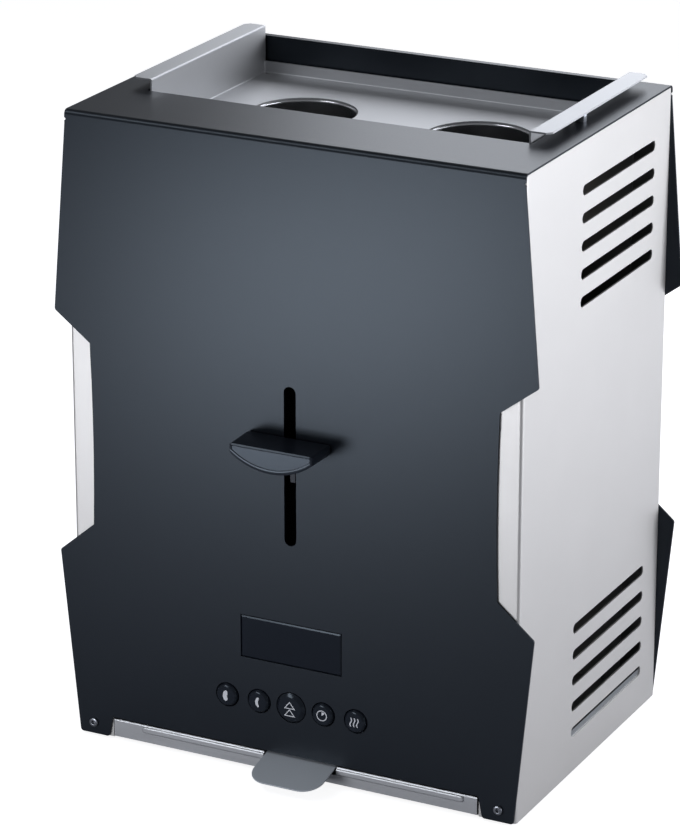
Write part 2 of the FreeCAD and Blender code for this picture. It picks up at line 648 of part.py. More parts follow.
def make_outer_shell():
    """The black sheet that makes the front, the top and the back in one piece."""
    body = new_body("outer_shell")
    shoulder = (side_x, body_height - shoulder_drop)
    upper_wing = (side_x + wing_reach, body_height - upper_wing_drop)
    waist_top = (side_x - waist_inset, body_height - waist_top_drop)
    waist_foot = (side_x - waist_inset, waist_foot_z)
    lower_wing = (side_x + wing_reach, lower_wing_z)
    skid_outer = (side_x - skid_inset, foot_height)
    skid_inner = (flange_tip_x + skid_lean, foot_height)
    cut_corner = (flange_tip_x, foot_height + skid_height)
    right = [
        (side_x, body_height),
        shoulder,
        upper_wing,
        waist_top,
        waist_foot,
        lower_wing,
        skid_outer,
        skid_inner,
        cut_corner,
    ]
    left = [(-x, z) for x, z in reversed(right)]
    waist_run = 3
    mirrored_run = len(right) * 2 - 2 - waist_run
    bows = {waist_run: -waist_bow, mirrored_run: -waist_bow}

    def blank(sketch):
        outline(sketch, right + left, bows)

    add(body, "XZ_Plane", front_y, back_y, blank, "Blank")
    top_edges = [(front_y, body_height), (back_y, body_height)]
    round_edges(body, 0, top_edges, shell_bend, "OuterBend")
    corners = [upper_wing, lower_wing, skid_outer, skid_inner]
    mirrored = [(-x, z) for x, z in corners]
    round_edges(body, 1, corners + mirrored, corner_round, "Corners")

    def inside(sketch):
        rectangle(sketch, front_inner_y, -shell_bend, back_inner_y, under_top_z)

    reach = side_x + wing_reach * 2
    remove(body, "YZ_Plane", -reach, reach, inside, "Inside")
    inner_edges = [(front_inner_y, under_top_z), (back_inner_y, under_top_z)]
    round_edges(body, 0, inner_edges, shell_bend_inside, "InnerBend")

    def opening(sketch):
        rectangle(sketch, -opening_x, opening_front_y, opening_x, opening_back_y)

    remove(body, "XY_Plane", under_top_z - PAST, body_height + PAST, opening, "Opening")
    round_edges(body, 2, opening_corners(), opening_round, "OpeningCorners")

    def front_holes(sketch):
        middle = (slot_top_z + slot_foot_z) / 2
        slot(sketch, 0, middle, slot_top_z - slot_foot_z, slot_width, upright=True)
        half_width, half_height = window_width / 2, window_height / 2
        rectangle(
            sketch, -half_width, window_z - half_height, half_width, window_z + half_height
        )
        for step, radius in key_places():
            circle(sketch, key_pitch * step, key_z, radius + key_gap)
        corner_holes(sketch)

    remove(body, "XZ_Plane", front_y - PAST, front_inner_y + PAST, front_holes, "FrontHoles")

    def back_holes(sketch):
        circle(sketch, gland_x, gland_z, gland_radius)
        corner_holes(sketch)
        for index in range(VENTS):
            drop = vent_top_drop + vent_pitch * (index + 1)
            slot(sketch, 0, body_height - drop, vent_length, vent_height)

    remove(body, "XZ_Plane", back_inner_y - PAST, back_y + PAST, back_holes, "BackHoles")


def opening_corners():
    """The four corners of the opening in the top."""
    return [(x, y) for x in (-opening_x, opening_x) for y in (opening_front_y, opening_back_y)]


def corner_holes(sketch):
    """The lower corners' screw holes and the relief notches beside the bends."""
    for x, z in both_sides(side_x - corner_screw_x, corner_screw_z):
        circle(sketch, x, z, screw_radius + screw_gap)
    for x, z in both_sides(side_x, body_height - relief_drop):
        circle(sketch, x, z, relief_radius)


def make_side_panel(name, side):
    """A stainless side with front, back and bottom flanges and two sets of vent slots."""
    body = new_body(name)
    outer = side_x * side
    inner = (side_x - panel_sheet) * side
    tip = flange_tip_x * side
    outer_ys = (front_inner_y, back_inner_y)
    inner_ys = (front_inner_y + panel_sheet, back_inner_y - panel_sheet)

    def profile(sketch):
        outline(
            sketch,
            [
                (tip, outer_ys[0]),
                (outer, outer_ys[0]),
                (outer, outer_ys[1]),
                (tip, outer_ys[1]),
                (tip, inner_ys[1]),
                (inner, inner_ys[1]),
                (inner, inner_ys[0]),
                (tip, inner_ys[0]),
            ],
        )

    add(body, "XY_Plane", foot_height, under_top_z, profile, "Wall")
    round_edges(body, 2, [(outer, y) for y in outer_ys], panel_bend, "OuterBend")
    round_edges(body, 2, [(inner, y) for y in inner_ys], panel_bend_inside, "InnerBend")

    def corners(sketch):
        for y, inwards in ((outer_ys[0], 1), (outer_ys[1], -1)):
            leg = shell_bend_inside
            outline(
                sketch,
                [
                    (y - PAST * inwards, under_top_z - leg - PAST),
                    (y + (leg + PAST) * inwards, under_top_z + PAST),
                    (y - PAST * inwards, under_top_z + PAST),
                ],
            )

    past = PAST * side
    low, high = sorted((outer + past, tip - past), key=lambda x: x.value)
    remove(body, "YZ_Plane", low, high, corners, "TopCorners")

    def ledge(sketch):
        rectangle(sketch, inner, inner_ys[0], ledge_tip_x * side, inner_ys[1])

    add(body, "XY_Plane", foot_height, foot_height + panel_sheet, ledge, "Ledge")

    def vents(sketch):
        for index in range(VENTS):
            rise = vent_pitch * index
            slot(sketch, vent_y, body_height - vent_top_drop - rise, vent_length, vent_height)
            slot(sketch, vent_y, vent_foot_z + rise, vent_length, vent_height)

    low, high = sorted((outer + past, inner - past), key=lambda x: x.value)
    remove(body, "YZ_Plane", low, high, vents, "Vents")

    def screws(sketch):
        x = (side_x - corner_screw_x) * side
        circle(sketch, x, corner_screw_z, screw_radius + screw_gap)

    remove(body, "XZ_Plane", front_y, back_y, screws, "ScrewHoles")


def make_base_plate():
    """The floor over the drip tray, with a hole under each chamber and folded sides."""
    body = new_body("base_plate")
    half = side_x - panel_sheet
    front = front_inner_y + panel_sheet
    back = back_inner_y - panel_sheet

    def floor(sketch):
        rectangle(sketch, -half, front, half, back)
        for x, y in both_sides(chamber_x, chamber_y):
            circle(sketch, x, y, chamber_radius - drip_hole_inset)

    add(body, "XY_Plane", base_z, base_top_z, floor, "Floor")

    def flanges(sketch):
        inset = panel_bend * 2
        for x1, x2 in ((-half, -half + base_sheet), (half - base_sheet, half)):
            rectangle(sketch, x1, front + inset, x2, back - inset)

    add(body, "XY_Plane", base_top_z, base_top_z + base_flange, flanges, "Flanges")
    corners = [(x, y) for x in (-half, half) for y in (front, back)]
    round_edges(body, 2, corners, panel_bend, "Corners")


def make_feet():
    """Four flat rubber feet under the side panels."""
    x = (side_x + ledge_tip_x) / 2
    for end, y in (("front", front_y + foot_inset), ("rear", back_y - foot_inset)):
        for side, across in (("left", -x), ("right", x)):
            name = f"{end}_{side}_foot"
            foot = cylinder(name, "Z", (across, y, 0), foot_radius, foot_height)
            keep(foot, name)


def make_screw(name, x, y, z, out):
    """A button-head screw along Y; out is -1 when its head faces the front."""
    head = doc.addObject("Part::Cylinder", name + "_head")
    head.Placement.Rotation = TURNS["Y"]
    bind(head, "Radius", screw_head)
    bind(head, "Height", screw_head_height)
    head_y = y - screw_head_height if out < 0 else y
    place(head, x, head_y, z)
    doc.recompute()
    rim = doc.addObject("Part::Fillet", name + "_rim")
    rim.Base = head
    head_face = y + screw_head_height * out
    circles = [
        index + 1
        for index, edge in enumerate(head.Shape.Edges)
        if len(edge.Vertexes) == 1 and abs(edge.Vertexes[0].Y - head_face.value) < EPS
    ]
    rim.Edges = [(index, screw_dome.value, screw_dome.value) for index in circles]
    shank_y = y if out < 0 else y - screw_length
    shank = cylinder(name + "_shank", "Y", (x, shank_y, z), screw_radius, screw_length)
    socket = doc.addObject("Part::Prism", name + "_socket")
    socket.Polygon = 6
    socket.Placement.Rotation = TURNS["Y"]
    bind(socket, "Circumradius", screw_socket)
    bind(socket, "Height", screw_head_height)
    socket_y = head_face - screw_head_height + socket_depth if out < 0 else head_face - socket_depth
    place(socket, x, socket_y, z)
    return cut(name, fuse(name + "_solid", [rim, shank]), [socket])


def make_corner_screws():
    """One screw in each lower corner of the front and of the back."""
    for end, y, out in (("front", front_y, -1), ("rear", back_y, 1)):
        pieces = []
        for side, (x, z) in zip(
            ("right", "left"), both_sides(side_x - corner_screw_x, corner_screw_z)
        ):
            pieces.append(make_screw(f"{end}_{side}_screw", x, y, z, out))
        keep(group(f"{end}_screws", pieces), f"{end}_screws")


# ---------------------------------------------------------------- top well and lift-out holder


def make_tray_well():
    """The black well under the top opening; its floor carries the chamber tubes' mouths."""
    body = new_body("tray_well")
    front, back = opening_front_y, opening_back_y

    def lip(sketch):
        side = opening_x + well_sheet + well_lip
        rear = back_inner_y - shell_bend
        rectangle(sketch, -side, front - well_sheet - well_lip, side, rear)

    add(body, "XY_Plane", under_top_z - well_sheet, under_top_z, lip, "Lip")

    def spread(amount):
        side = opening_x + amount
        return lambda sketch: rectangle(sketch, -side, front - amount, side, back + amount)

    add(body, "XY_Plane", well_under_z, under_top_z - well_sheet, spread(well_sheet), "Block")
    remove(body, "XY_Plane", well_z, under_top_z, spread(0), "Hollow")
    round_edges(body, 2, opening_corners(), opening_round, "Corners")

    def holes(sketch):
        for x, y in both_sides(chamber_x, chamber_y):
            circle(sketch, x, y, hole_radius + well_hole_gap)

    remove(body, "XY_Plane", well_under_z - PAST, well_z + PAST, holes, "Holes")


def make_holder_tray():
    """The stainless tray that lifts out by its two folded grips."""
    body = new_body("holder_tray")
    half = tray_x
    front = opening_front_y + tray_gap
    back = opening_back_y - tray_gap

    def floor(sketch):
        rectangle(sketch, -half, front, half, back)

    add(body, "XY_Plane", well_z, tray_z, floor, "Floor")

    def upstands(sketch):
        inset = tray_sheet
        rectangle(sketch, -half + inset, front, half - inset, front + tray_sheet)
        rectangle(sketch, -half + inset, back - tray_sheet, half - inset, back)

    add(body, "XY_Plane", tray_z, tray_z + tray_upstand, upstands, "Upstands")

    def walls(sketch):
        for x1, x2 in ((-half, -half + tray_sheet), (half - tray_sheet, half)):
            rectangle(sketch, x1, front, x2, back)

    add(body, "XY_Plane", tray_z, grip_z, walls, "Walls")

    def grips(sketch):
        for side in (-1, 1):
            root = (half - tray_sheet) * side
            tip = (half - tray_sheet + grip_width) * side
            cut_tip = (half - tray_sheet + grip_width - grip_corner) * side
            outline(
                sketch,
                [
                    (root, front),
                    (cut_tip, front),
                    (tip, front + grip_corner),
                    (tip, back - grip_corner),
                    (cut_tip, back),
                    (root, back),
                ],
            )

    add(body, "XY_Plane", grip_z - tray_sheet, grip_z, grips, "Grips")
    inner = half - tray_sheet
    round_edges(body, 1, both_sides(inner, grip_z), tray_sheet, "GripBend")
    round_edges(body, 1, both_sides(inner, tray_z), tray_bend, "FloorBend")
    upstand_feet = [(front + tray_sheet, tray_z), (back - tray_sheet, tray_z)]
    round_edges(body, 0, upstand_feet, tray_bend, "UpstandBend")

    def holes(sketch):
        for x, y in both_sides(chamber_x, chamber_y):
            circle(sketch, x, y, hole_radius)
        for end in (front + tray_relief_inset, back - tray_relief_inset):
            for x, y in both_sides(half - tray_relief_inset, end):
                circle(sketch, x, y, tray_relief)

    remove(body, "XY_Plane", well_z - PAST, tray_z + PAST, holes, "Holes")


def make_grip_rests():
    """A low domed stud on the top face under each grip."""
    pieces = []
    height = grip_rise - tray_sheet - rest_gap
    for side, (x, y) in zip(("right", "left"), both_sides(tray_x + rest_reach, rest_y)):
        stud = cylinder(f"{side}_rest_stem", "Z", (x, y, body_height), rest_radius, height)
        doc.recompute()
        dome = doc.addObject("Part::Fillet", f"{side}_rest")
        dome.Base = stud
        top = body_height.value + height.value
        dome.Edges = [
            (index + 1, rest_dome.value, rest_dome.value)
            for index, edge in enumerate(stud.Shape.Edges)
            if len(edge.Vertexes) == 1 and abs(edge.Vertexes[0].Z - top) < EPS
        ]
        pieces.append(dome)
    keep(group("grip_rests", pieces), "grip_rests")


def make_cage(name, x):
    """A sausage cage under the tray: rolled rim, plain collar, wires and two rings open in front."""
    pieces = []
    rim = doc.addObject("Part::Torus", name + "_rim")
    bind(rim, "Radius1", hole_radius + cage_rim / 2)
    bind(rim, "Radius2", cage_rim)
    place(rim, x, chamber_y, well_z - cage_rim)
    pieces.append(rim)
    collar_top = well_z - cage_rim
    collar_foot = collar_top - collar_length
    collar = cylinder(
        name + "_collar_outer", "Z", (x, chamber_y, collar_foot), hole_radius, collar_length
    )
    bore = cylinder(
        name + "_collar_bore",
        "Z",
        (x, chamber_y, collar_foot - PAST),
        hole_radius - collar_wall,
        collar_length + PAST * 2,
    )
    pieces.append(cut(name + "_collar", collar, [bore]))
    foot = well_z - cage_length
    wire_circle = hole_radius - collar_wall / 2
    wire_length = collar_foot - foot + wire_overlap
    for index, (wire_x, wire_y) in enumerate(round_places(x, wire_circle, CAGE_WIRES)):
        start = (wire_x, wire_y, foot)
        pieces.append(cylinder(f"{name}_wire_{index}", "Z", start, cage_wire, wire_length))
    for index, height in enumerate((foot, (foot + collar_foot) / 2)):
        ring = doc.addObject("Part::Torus", f"{name}_ring_{index}")
        bind(ring, "Radius1", wire_circle)
        bind(ring, "Radius2", cage_ring)
        bind(ring, "Angle3", 360 - cage_mouth)
        turn = -90 + cage_mouth.value / 2
        ring.Placement.Rotation = FreeCAD.Rotation(FreeCAD.Vector(0, 0, 1), turn)
        place(ring, x, chamber_y, height)
        pieces.append(ring)
    keep(fuse(name, pieces), name)


# ---------------------------------------------------------------- toasting chambers


def make_chamber_tube(name, x):
    """The tube round a cage, from the base plate to the well, with a slot for the lift arm."""
    length = well_under_z - base_top_z
    outer = cylinder(
        name + "_outer", "Z", (x, chamber_y, base_top_z), chamber_radius + chamber_wall, length
    )
    bore = cylinder(
        name + "_bore", "Z", (x, chamber_y, base_top_z - PAST), chamber_radius, length + PAST * 2
    )
    keep(cut(name, outer, [bore, arm_window(name, x)]), name)


def arm_window(name, x):
    """The room a lift arm needs from its lowest to its highest place."""
    half = lift_arm_width / 2 + arm_gap
    low = lift_arm_z - lift_down - arm_end_gap
    high = carriage_top_z + lift_up + arm_end_gap
    ys = (front_shield_y - PAST, chamber_y)
    return box(name + "_window", (x - half, x + half), ys, (low, high))


def round_places(x, radius, number):
    """Even places round a chamber's axis, with the foremost two on either side of the front."""
    for index in range(number):
        angle = math.radians(360 / number * (index + 0.5))
        yield x + radius * math.cos(angle), chamber_y + radius * math.sin(angle)


def make_heaters(side, x):
    """Four upright heating tubes and the two ceramic rings that hold their ends."""
    foot = heater_top_z - heater_length
    tubes = []
    for index, (px, py) in enumerate(round_places(x, heater_circle, HEATERS)):
        tube = cylinder(f"{side}_heater_{index}", "Z", (px, py, foot), heater_radius, heater_length)
        tubes.append(tube)
    keep(group(f"{side}_heating_tubes", tubes), f"{side}_heating_tubes")
    for end, z in (("upper", heater_top_z - heater_ring_height), ("lower", foot)):
        name = f"{side}_{end}_heater_ring"
        radius = chamber_radius - fit_gap
        blank = cylinder(name + "_blank", "Z", (x, chamber_y, z), radius, heater_ring_height)
        tools = [
            cylinder(
                name + "_bore",
                "Z",
                (x, chamber_y, z - PAST),
                heater_ring_inner,
                heater_ring_height + PAST * 2,
            )
        ]
        for index, (px, py) in enumerate(round_places(x, heater_circle, HEATERS)):
            tools.append(
                cylinder(
                    f"{name}_hole_{index}",
                    "Z",
                    (px, py, z - PAST),
                    heater_radius + fit_gap,
                    heater_ring_height + PAST * 2,
                )
            )
        keep(cut(name, blank, tools), name)


def make_heat_shields():
    """The two upright sheets in front of and behind the chambers."""
    half = side_x - shield_side
    for name, y, foot_side in (
        ("front_heat_shield", front_shield_y, -1),
        ("rear_heat_shield", rear_shield_y, 1),
    ):
        wall = box(name + "_wall", (-half, half), (y, y + shield_sheet), (base_top_z, well_under_z))
        if foot_side < 0:
            foot_ys = (y - shield_foot, y)
        else:
            foot_ys = (y + shield_sheet, y + shield_sheet + shield_foot)
        foot = box(name + "_foot", (-half, half), foot_ys, (base_top_z, base_top_z + shield_sheet))
        solid = fuse(name + "_sheet", [wall, foot])
        if foot_side < 0:
            windows = [
                arm_window(name + side, x)
                for side, x in (("left", -chamber_x), ("right", chamber_x))
            ]
            solid = cut(name + "_cut", solid, windows)
        keep(solid, name)


# ---------------------------------------------------------------- lift


def make_brackets():
    """Two shelves on the front heat shield: one guides the rods' tops, one carries the magnet."""
    half = bracket_width / 2
    front = rod_y - bush_radius - bracket_margin
    for name, z in (
        ("rod_bracket", rod_top_z - rod_end - bracket_sheet),
        ("magnet_bracket", shelf_z - bracket_sheet),
    ):
        shelf = box(name + "_shelf", (-half, half), (front, front_shield_y), (z, z + bracket_sheet))
        flange = box(
            name + "_flange",
            (-half, half),
            (front_shield_y - bracket_sheet, front_shield_y),
            (z - bracket_flange, z),
        )
        holes = [
            cylinder(
                f"{name}_hole_{index}",
                "Z",
                (x, y, z - PAST),
                rod_radius + fit_gap,
                bracket_sheet + PAST * 2,
            )
            for index, (x, y) in enumerate(both_sides(rod_x, rod_y))
        ]
        keep(cut(name, fuse(name + "_solid", [shelf, flange]), holes), name)


def make_guide(side, x):
    """A guide rod, the bush that runs on it and the spring under the bush."""
    rod_length = rod_top_z - base_top_z
    rod = cylinder(f"{side}_guide_rod", "Z", (x, rod_y, base_top_z), rod_radius, rod_length)
    keep(rod, f"{side}_guide_rod")
    name = f"{side}_guide_bush"
    length = carriage_height - arm_height + bush_stand * 2
    outer = cylinder(name + "_outer", "Z", (x, rod_y, bush_foot_z), bush_radius, length)
    start = (x, rod_y, bush_foot_z - PAST)
    bore = cylinder(name + "_bore", "Z", start, rod_radius + fit_gap, length + PAST * 2)
    keep(cut(name, outer, [bore]), name)
    spring_name = f"{side}_return_spring"
    room = bush_foot_z - shelf_z
    helix = doc.addObject("Part::Helix", spring_name + "_path")
    bind(helix, "Radius", spring_radius)
    bind(helix, "Height", room - spring_wire * 2)
    bind(helix, "Pitch", (room - spring_wire * 2) / spring_turns)
    place(helix, x, rod_y, shelf_z + spring_wire)
    section = doc.addObject("Part::Circle", spring_name + "_section")
    section.Placement.Rotation = FreeCAD.Rotation(FreeCAD.Vector(1, 0, 0), 90)
    bind(section, "Radius", spring_wire)
    place(section, x + spring_radius, rod_y, shelf_z + spring_wire)
    spring = doc.addObject("Part::Sweep", spring_name)
    spring.Sections = [section]
    spring.Spine = (helix, [])
    spring.Solid = True
    spring.Frenet = True
    keep(spring, spring_name)


def make_lift_carriage():
    """The bent sheet that runs on the rods: lever arm to the front, two arms into the chambers."""
    body = new_body("lift_carriage")
    half = carriage_width / 2
    plate_back = carriage_y + carriage_sheet
    flange_front = carriage_y - carriage_flange

    def plate(sketch):
        rectangle(sketch, -half, carriage_foot_z, half, carriage_top_z)

    add(body, "XZ_Plane", carriage_y, plate_back, plate, "Plate")

    def flange(sketch):
        rectangle(sketch, -half, flange_front, half, carriage_y)
        for x, y in both_sides(rod_x, rod_y):
            circle(sketch, x, y, bush_radius + fit_gap)

    add(body, "XY_Plane", carriage_foot_z, carriage_foot_z + carriage_sheet, flange, "FootFlange")
    add(body, "XY_Plane", lift_arm_z - carriage_sheet, lift_arm_z, flange, "TopFlange")
    arm_front = front_y - knob_gap - knob_socket + running_gap
    tail_front = front_inner_y + tail_gap
    tail_back = tail_front + tail_depth

    def lever(sketch):
        outline(
            sketch,
            [
                (arm_front, arm_foot_z),
                (tail_front, arm_foot_z),
                (tail_front, arm_foot_z - tail_drop),
                (tail_back, arm_foot_z - tail_drop),
                (tail_back, arm_foot_z),
                (carriage_y, arm_foot_z),
                (carriage_y, arm_top_z),
                (arm_front, arm_top_z),
            ],
        )

    add(body, "YZ_Plane", -arm_thickness / 2, arm_thickness / 2, lever, "LeverArm")

    def arms(sketch):
        for x, y in both_sides(chamber_x, chamber_y):
            reach = lift_arm_width / 2
            end = y + platform_hole_circle - platform_hole
            rectangle(sketch, x - reach, plate_back, x + reach, end)

    add(body, "XY_Plane", lift_arm_z, carriage_top_z, arms, "LiftArms")


def make_platform(name, x):
    """A round platform on a lift arm, with holes for the fat to drip through."""
    start = (x, chamber_y, carriage_top_z)
    plate = cylinder(name + "_plate", "Z", start, hole_radius - platform_gap, platform_sheet)
    holes = []
    for index, (px, py) in enumerate(round_places(x, platform_hole_circle, PLATFORM_HOLES)):
        start = (px, py, carriage_top_z - PAST)
        depth = platform_sheet + PAST * 2
        holes.append(cylinder(f"{name}_hole_{index}", "Z", start, platform_hole, depth))
    keep(cut(name, plate, holes), name)


def make_magnet():
    """The holding magnet on its shelf and the armature under the carriage."""
    y = rod_y
    half_width, half_depth = magnet_width / 2, magnet_depth / 2
    armature = box(
        "armature_plate",
        (-half_width - armature_margin, half_width + armature_margin),
        (y - half_depth, y + half_depth),
        (carriage_foot_z - armature_sheet, carriage_foot_z),
    )
    keep(armature, "armature_plate")
    yoke = box(
        "core_block",
        (-half_width, half_width),
        (y - half_depth, y + half_depth),
        (shelf_z, shelf_z + magnet_height),
    )
    slots = [
        box(
            f"core_slot_{index}",
            (start, start + magnet_slot),
            (y - half_depth - PAST, y + half_depth + PAST),
            (shelf_z + magnet_yoke, shelf_z + magnet_height + PAST),
        )
        for index, start in enumerate((-half_width + magnet_leg, half_width - magnet_leg - magnet_slot))
    ]
    keep(cut("magnet_core", yoke, slots), "magnet_core")
    coil_x = half_width - magnet_leg - coil_gap
    pole_x = half_width - magnet_leg - magnet_slot + coil_gap
    pole_y = half_depth + coil_gap
    coil_y = half_depth + coil_bulge
    coil_block = box(
        "coil_block",
        (-coil_x, coil_x),
        (y - coil_y, y + coil_y),
        (shelf_z + magnet_yoke, shelf_z + magnet_height - coil_drop),
    )
    coil_bore = box(
        "coil_bore",
        (-pole_x, pole_x),
        (y - pole_y, y + pole_y),
        (shelf_z, shelf_z + magnet_height),
    )
    keep(cut("magnet_coil", coil_block, [coil_bore]), "magnet_coil")


def make_lever_knob():
    """The black knob: flat top, bowed underside, a recessed panel in its front."""
    body = new_body("lever_knob")
    back = front_y - knob_gap
    front = back - knob_depth
    top = lever_z + knob_above
    foot = top - knob_end

    def section(half, inset):
        corners = [
            (-half + inset, top - inset),
            (-half + inset, foot),
            (half - inset, foot),
            (half - inset, top - inset),
        ]
        return lambda sketch: outline(sketch, corners, {1: inset - knob_belly})

    half_back = knob_width / 2
    half_front = half_back - knob_taper
    first = new_sketch(body, "XZ_Plane", -back, "BackSection")
    section(half_back, as_size(0))(first)
    second = new_sketch(body, "XZ_Plane", -front, "FrontSection")
    section(half_front, as_size(0))(second)
    loft = body.newObject("PartDesign::AdditiveLoft", "Knob")
    loft.Profile = first
    loft.Sections = [second]
    loft.Ruled = True
    doc.recompute()
    recess = section(half_front, knob_rim)
    remove(body, "XZ_Plane", front - PAST, front + knob_recess, recess, "Panel")

    def socket(sketch):
        wide = arm_thickness / 2 + fit_gap
        tall = arm_height / 2 + fit_gap
        rectangle(sketch, -wide, lever_z - tall, wide, lever_z + tall)

    remove(body, "XZ_Plane", back - knob_socket, back + PAST, socket, "Socket")


# ---------------------------------------------------------------- controls


def key_places():
    """Each button's step from the middle and its radius."""
    return [(-2, key_radius), (-1, key_radius), (0, big_key_radius), (1, key_radius), (2, key_radius)]


KEY_NAMES = [
    "thick_sausage_button",
    "thin_sausage_button",
    "lift_button",
    "timer_button",
    "keep_warm_button",
]


def make_control_housing():
    """The plastic box behind the front that holds the display, the buttons and their board."""
    body = new_body("control_housing")
    half = housing_width / 2
    top_z = housing_foot_z + housing_height
    wall_back = housing_front_y + housing_wall

    def block(sketch):
        rectangle(sketch, -half, housing_foot_z, half, top_z)

    add(body, "XZ_Plane", housing_front_y, housing_back_y, block, "Block")

    def hollow(sketch):
        inset = housing_wall
        rectangle(sketch, -half + inset, housing_foot_z + inset, half - inset, top_z - inset)

    remove(body, "XZ_Plane", wall_back, housing_back_y, hollow, "Hollow")

    def rebate(sketch):
        wide = window_width / 2 + lens_overlap + fit_gap
        tall = window_height / 2 + lens_overlap + fit_gap
        rectangle(sketch, -wide, window_z - tall, wide, window_z + tall)

    remove(body, "XZ_Plane", housing_front_y, housing_front_y + lens_sheet, rebate, "LensSeat")

    def openings(sketch):
        wide, tall = window_width / 2 - lens_margin, window_height / 2 - lens_margin
        rectangle(sketch, -wide, window_z - tall, wide, window_z + tall)
        for step, radius in key_places():
            circle(sketch, key_pitch * step, key_z, radius + key_gap)

    remove(body, "XZ_Plane", housing_front_y - PAST, wall_back + PAST, openings, "Openings")

    def bosses(sketch):
        for x, z in boss_places():
            circle(sketch, x, z, boss_radius)
            circle(sketch, x, z, board_screw)

    add(body, "XZ_Plane", wall_back, housing_back_y - board_sheet, bosses, "Bosses")


def boss_places():
    """The four screw places of the control board."""
    x = housing_width / 2 - housing_wall - boss_inset
    low = housing_foot_z + housing_wall + boss_inset
    high = housing_foot_z + housing_height - housing_wall - boss_inset
    return both_sides(x, low) + both_sides(x, high)


def make_display():
    """The dark lens in its seat and the display module behind it."""
    wide = window_width / 2 + lens_overlap
    tall = window_height / 2 + lens_overlap
    lens = box(
        "display_lens",
        (-wide, wide),
        (housing_front_y, housing_front_y + lens_sheet),
        (window_z - tall, window_z + tall),
    )
    keep(lens, "display_lens")
    wall_back = housing_front_y + housing_wall
    module = box(
        "display_module",
        (-wide + module_inset, wide - module_inset),
        (wall_back, wall_back + module_depth),
        (window_z - tall + module_inset, window_z + tall - module_inset),
    )
    keep(module, "display_module")


def make_control_board():
    """The circuit board on the housing's bosses, its key switches and its screws."""
    gap = running_gap
    half = housing_width / 2 - housing_wall - gap
    low = housing_foot_z + housing_wall + gap
    high = housing_foot_z + housing_height - housing_wall - gap
    front = housing_back_y - board_sheet
    blank = box("control_board_blank", (-half, half), (front, housing_back_y), (low, high))
    holes = [
        cylinder(
            f"control_board_hole_{index}",
            "Y",
            (x, front - PAST, z),
            board_screw + screw_gap,
            board_sheet + PAST * 2,
        )
        for index, (x, z) in enumerate(boss_places())
    ]
    keep(cut("control_board", blank, holes), "control_board")
    switches = []
    side = switch_side / 2
    for index, (step, _) in enumerate(key_places()):
        x = key_pitch * step
        switch = box(
            f"switch_{index}",
            (x - side, x + side),
            (front - switch_depth, front),
            (key_z - side, key_z + side),
        )
        switches.append(switch)
    keep(group("button_switches", switches), "button_switches")
    screws = []
    for index, (x, z) in enumerate(boss_places()):
        head = cylinder(
            f"board_screw_{index}_head", "Y", (x, housing_back_y, z), screw_head, screw_head_height
        )
        shank = cylinder(
            f"board_screw_{index}_shank",
            "Y",
            (x, housing_back_y - screw_length, z),
            board_screw,
            screw_length,
        )
        screws.append(fuse(f"board_screw_{index}", [head, shank]))
    keep(group("board_screws", screws), "board_screws")


def make_key(name, step, radius):
    """A round button: cap, collar behind the housing's wall and a stem to its switch."""
    body = new_body(name)
    x = key_pitch * step
    cap_front = front_y - key_stand
    collar_front = housing_front_y + housing_wall + running_gap
    collar_back = collar_front + key_collar
    switch_front = housing_back_y - board_sheet - switch_depth
    stem_back = switch_front - key_travel - running_gap

    def disc(amount):
        return lambda sketch: circle(sketch, x, key_z, amount)

    add(body, "XZ_Plane", cap_front, collar_front, disc(radius), "Cap")
    add(body, "XZ_Plane", collar_front, collar_back, disc(radius + key_flange), "Collar")
    add(body, "XZ_Plane", collar_back, stem_back, disc(key_stem), "Stem")
    tip = body.Tip
    front_edges = [
        f"Edge{index + 1}"
        for index, edge in enumerate(tip.Shape.Edges)
        if len(edge.Vertexes) == 1 and abs(edge.Vertexes[0].Y - cap_front.value) < EPS
    ]
    fillet = body.newObject("PartDesign::Fillet", "FrontEdge")
    fillet.Base = (tip, front_edges)
    bind(fillet, "Radius", key_round)
    doc.recompute()


# ---------------------------------------------------------------- power supply


def make_power_supply():
    """The power board on four spacers on the back, with its transformer and relay."""
    low_x, high_x = supply_x - supply_width / 2, supply_x + supply_width / 2
    low_z, high_z = supply_foot_z, supply_foot_z + supply_height
    front = supply_back_y - board_sheet
    board = box("power_board", (low_x, high_x), (front, supply_back_y), (low_z, high_z))
    keep(board, "power_board")
    spacers = []
    for x in (low_x + spacer_inset, high_x - spacer_inset):
        for z in (low_z + spacer_inset, high_z - spacer_inset):
            start = (x, supply_back_y, z)
            name = f"spacer_{len(spacers)}"
            spacers.append(cylinder(name, "Y", start, spacer_radius, spacer_length))
    keep(group("board_spacers", spacers), "board_spacers")
    left, right = low_x + supply_margin, high_x - supply_margin
    parts_z = low_z + supply_parts_z
    transformer = box(
        "transformer",
        (left, left + transformer_width),
        (front - transformer_depth, front),
        (parts_z, parts_z + transformer_height),
    )
    keep(transformer, "transformer")
    relay = box(
        "relay",
        (right - relay_width, right),
        (front - relay_depth, front),
        (parts_z, parts_z + relay_height),
    )
    keep(relay, "relay")
    terminal_z = low_z + supply_margin
    terminal = box(
        "terminal_block",
        (right - terminal_width, right),
        (front - terminal_depth, front),
        (terminal_z, terminal_z + terminal_height),
    )
    keep(terminal, "terminal_block")
    cutout_place = (cutout_x, rear_shield_y + shield_sheet, body_height - cutout_drop)
    cutout = cylinder("thermal_cutout", "Y", cutout_place, cutout_radius, cutout_depth)
    keep(cutout, "thermal_cutout")


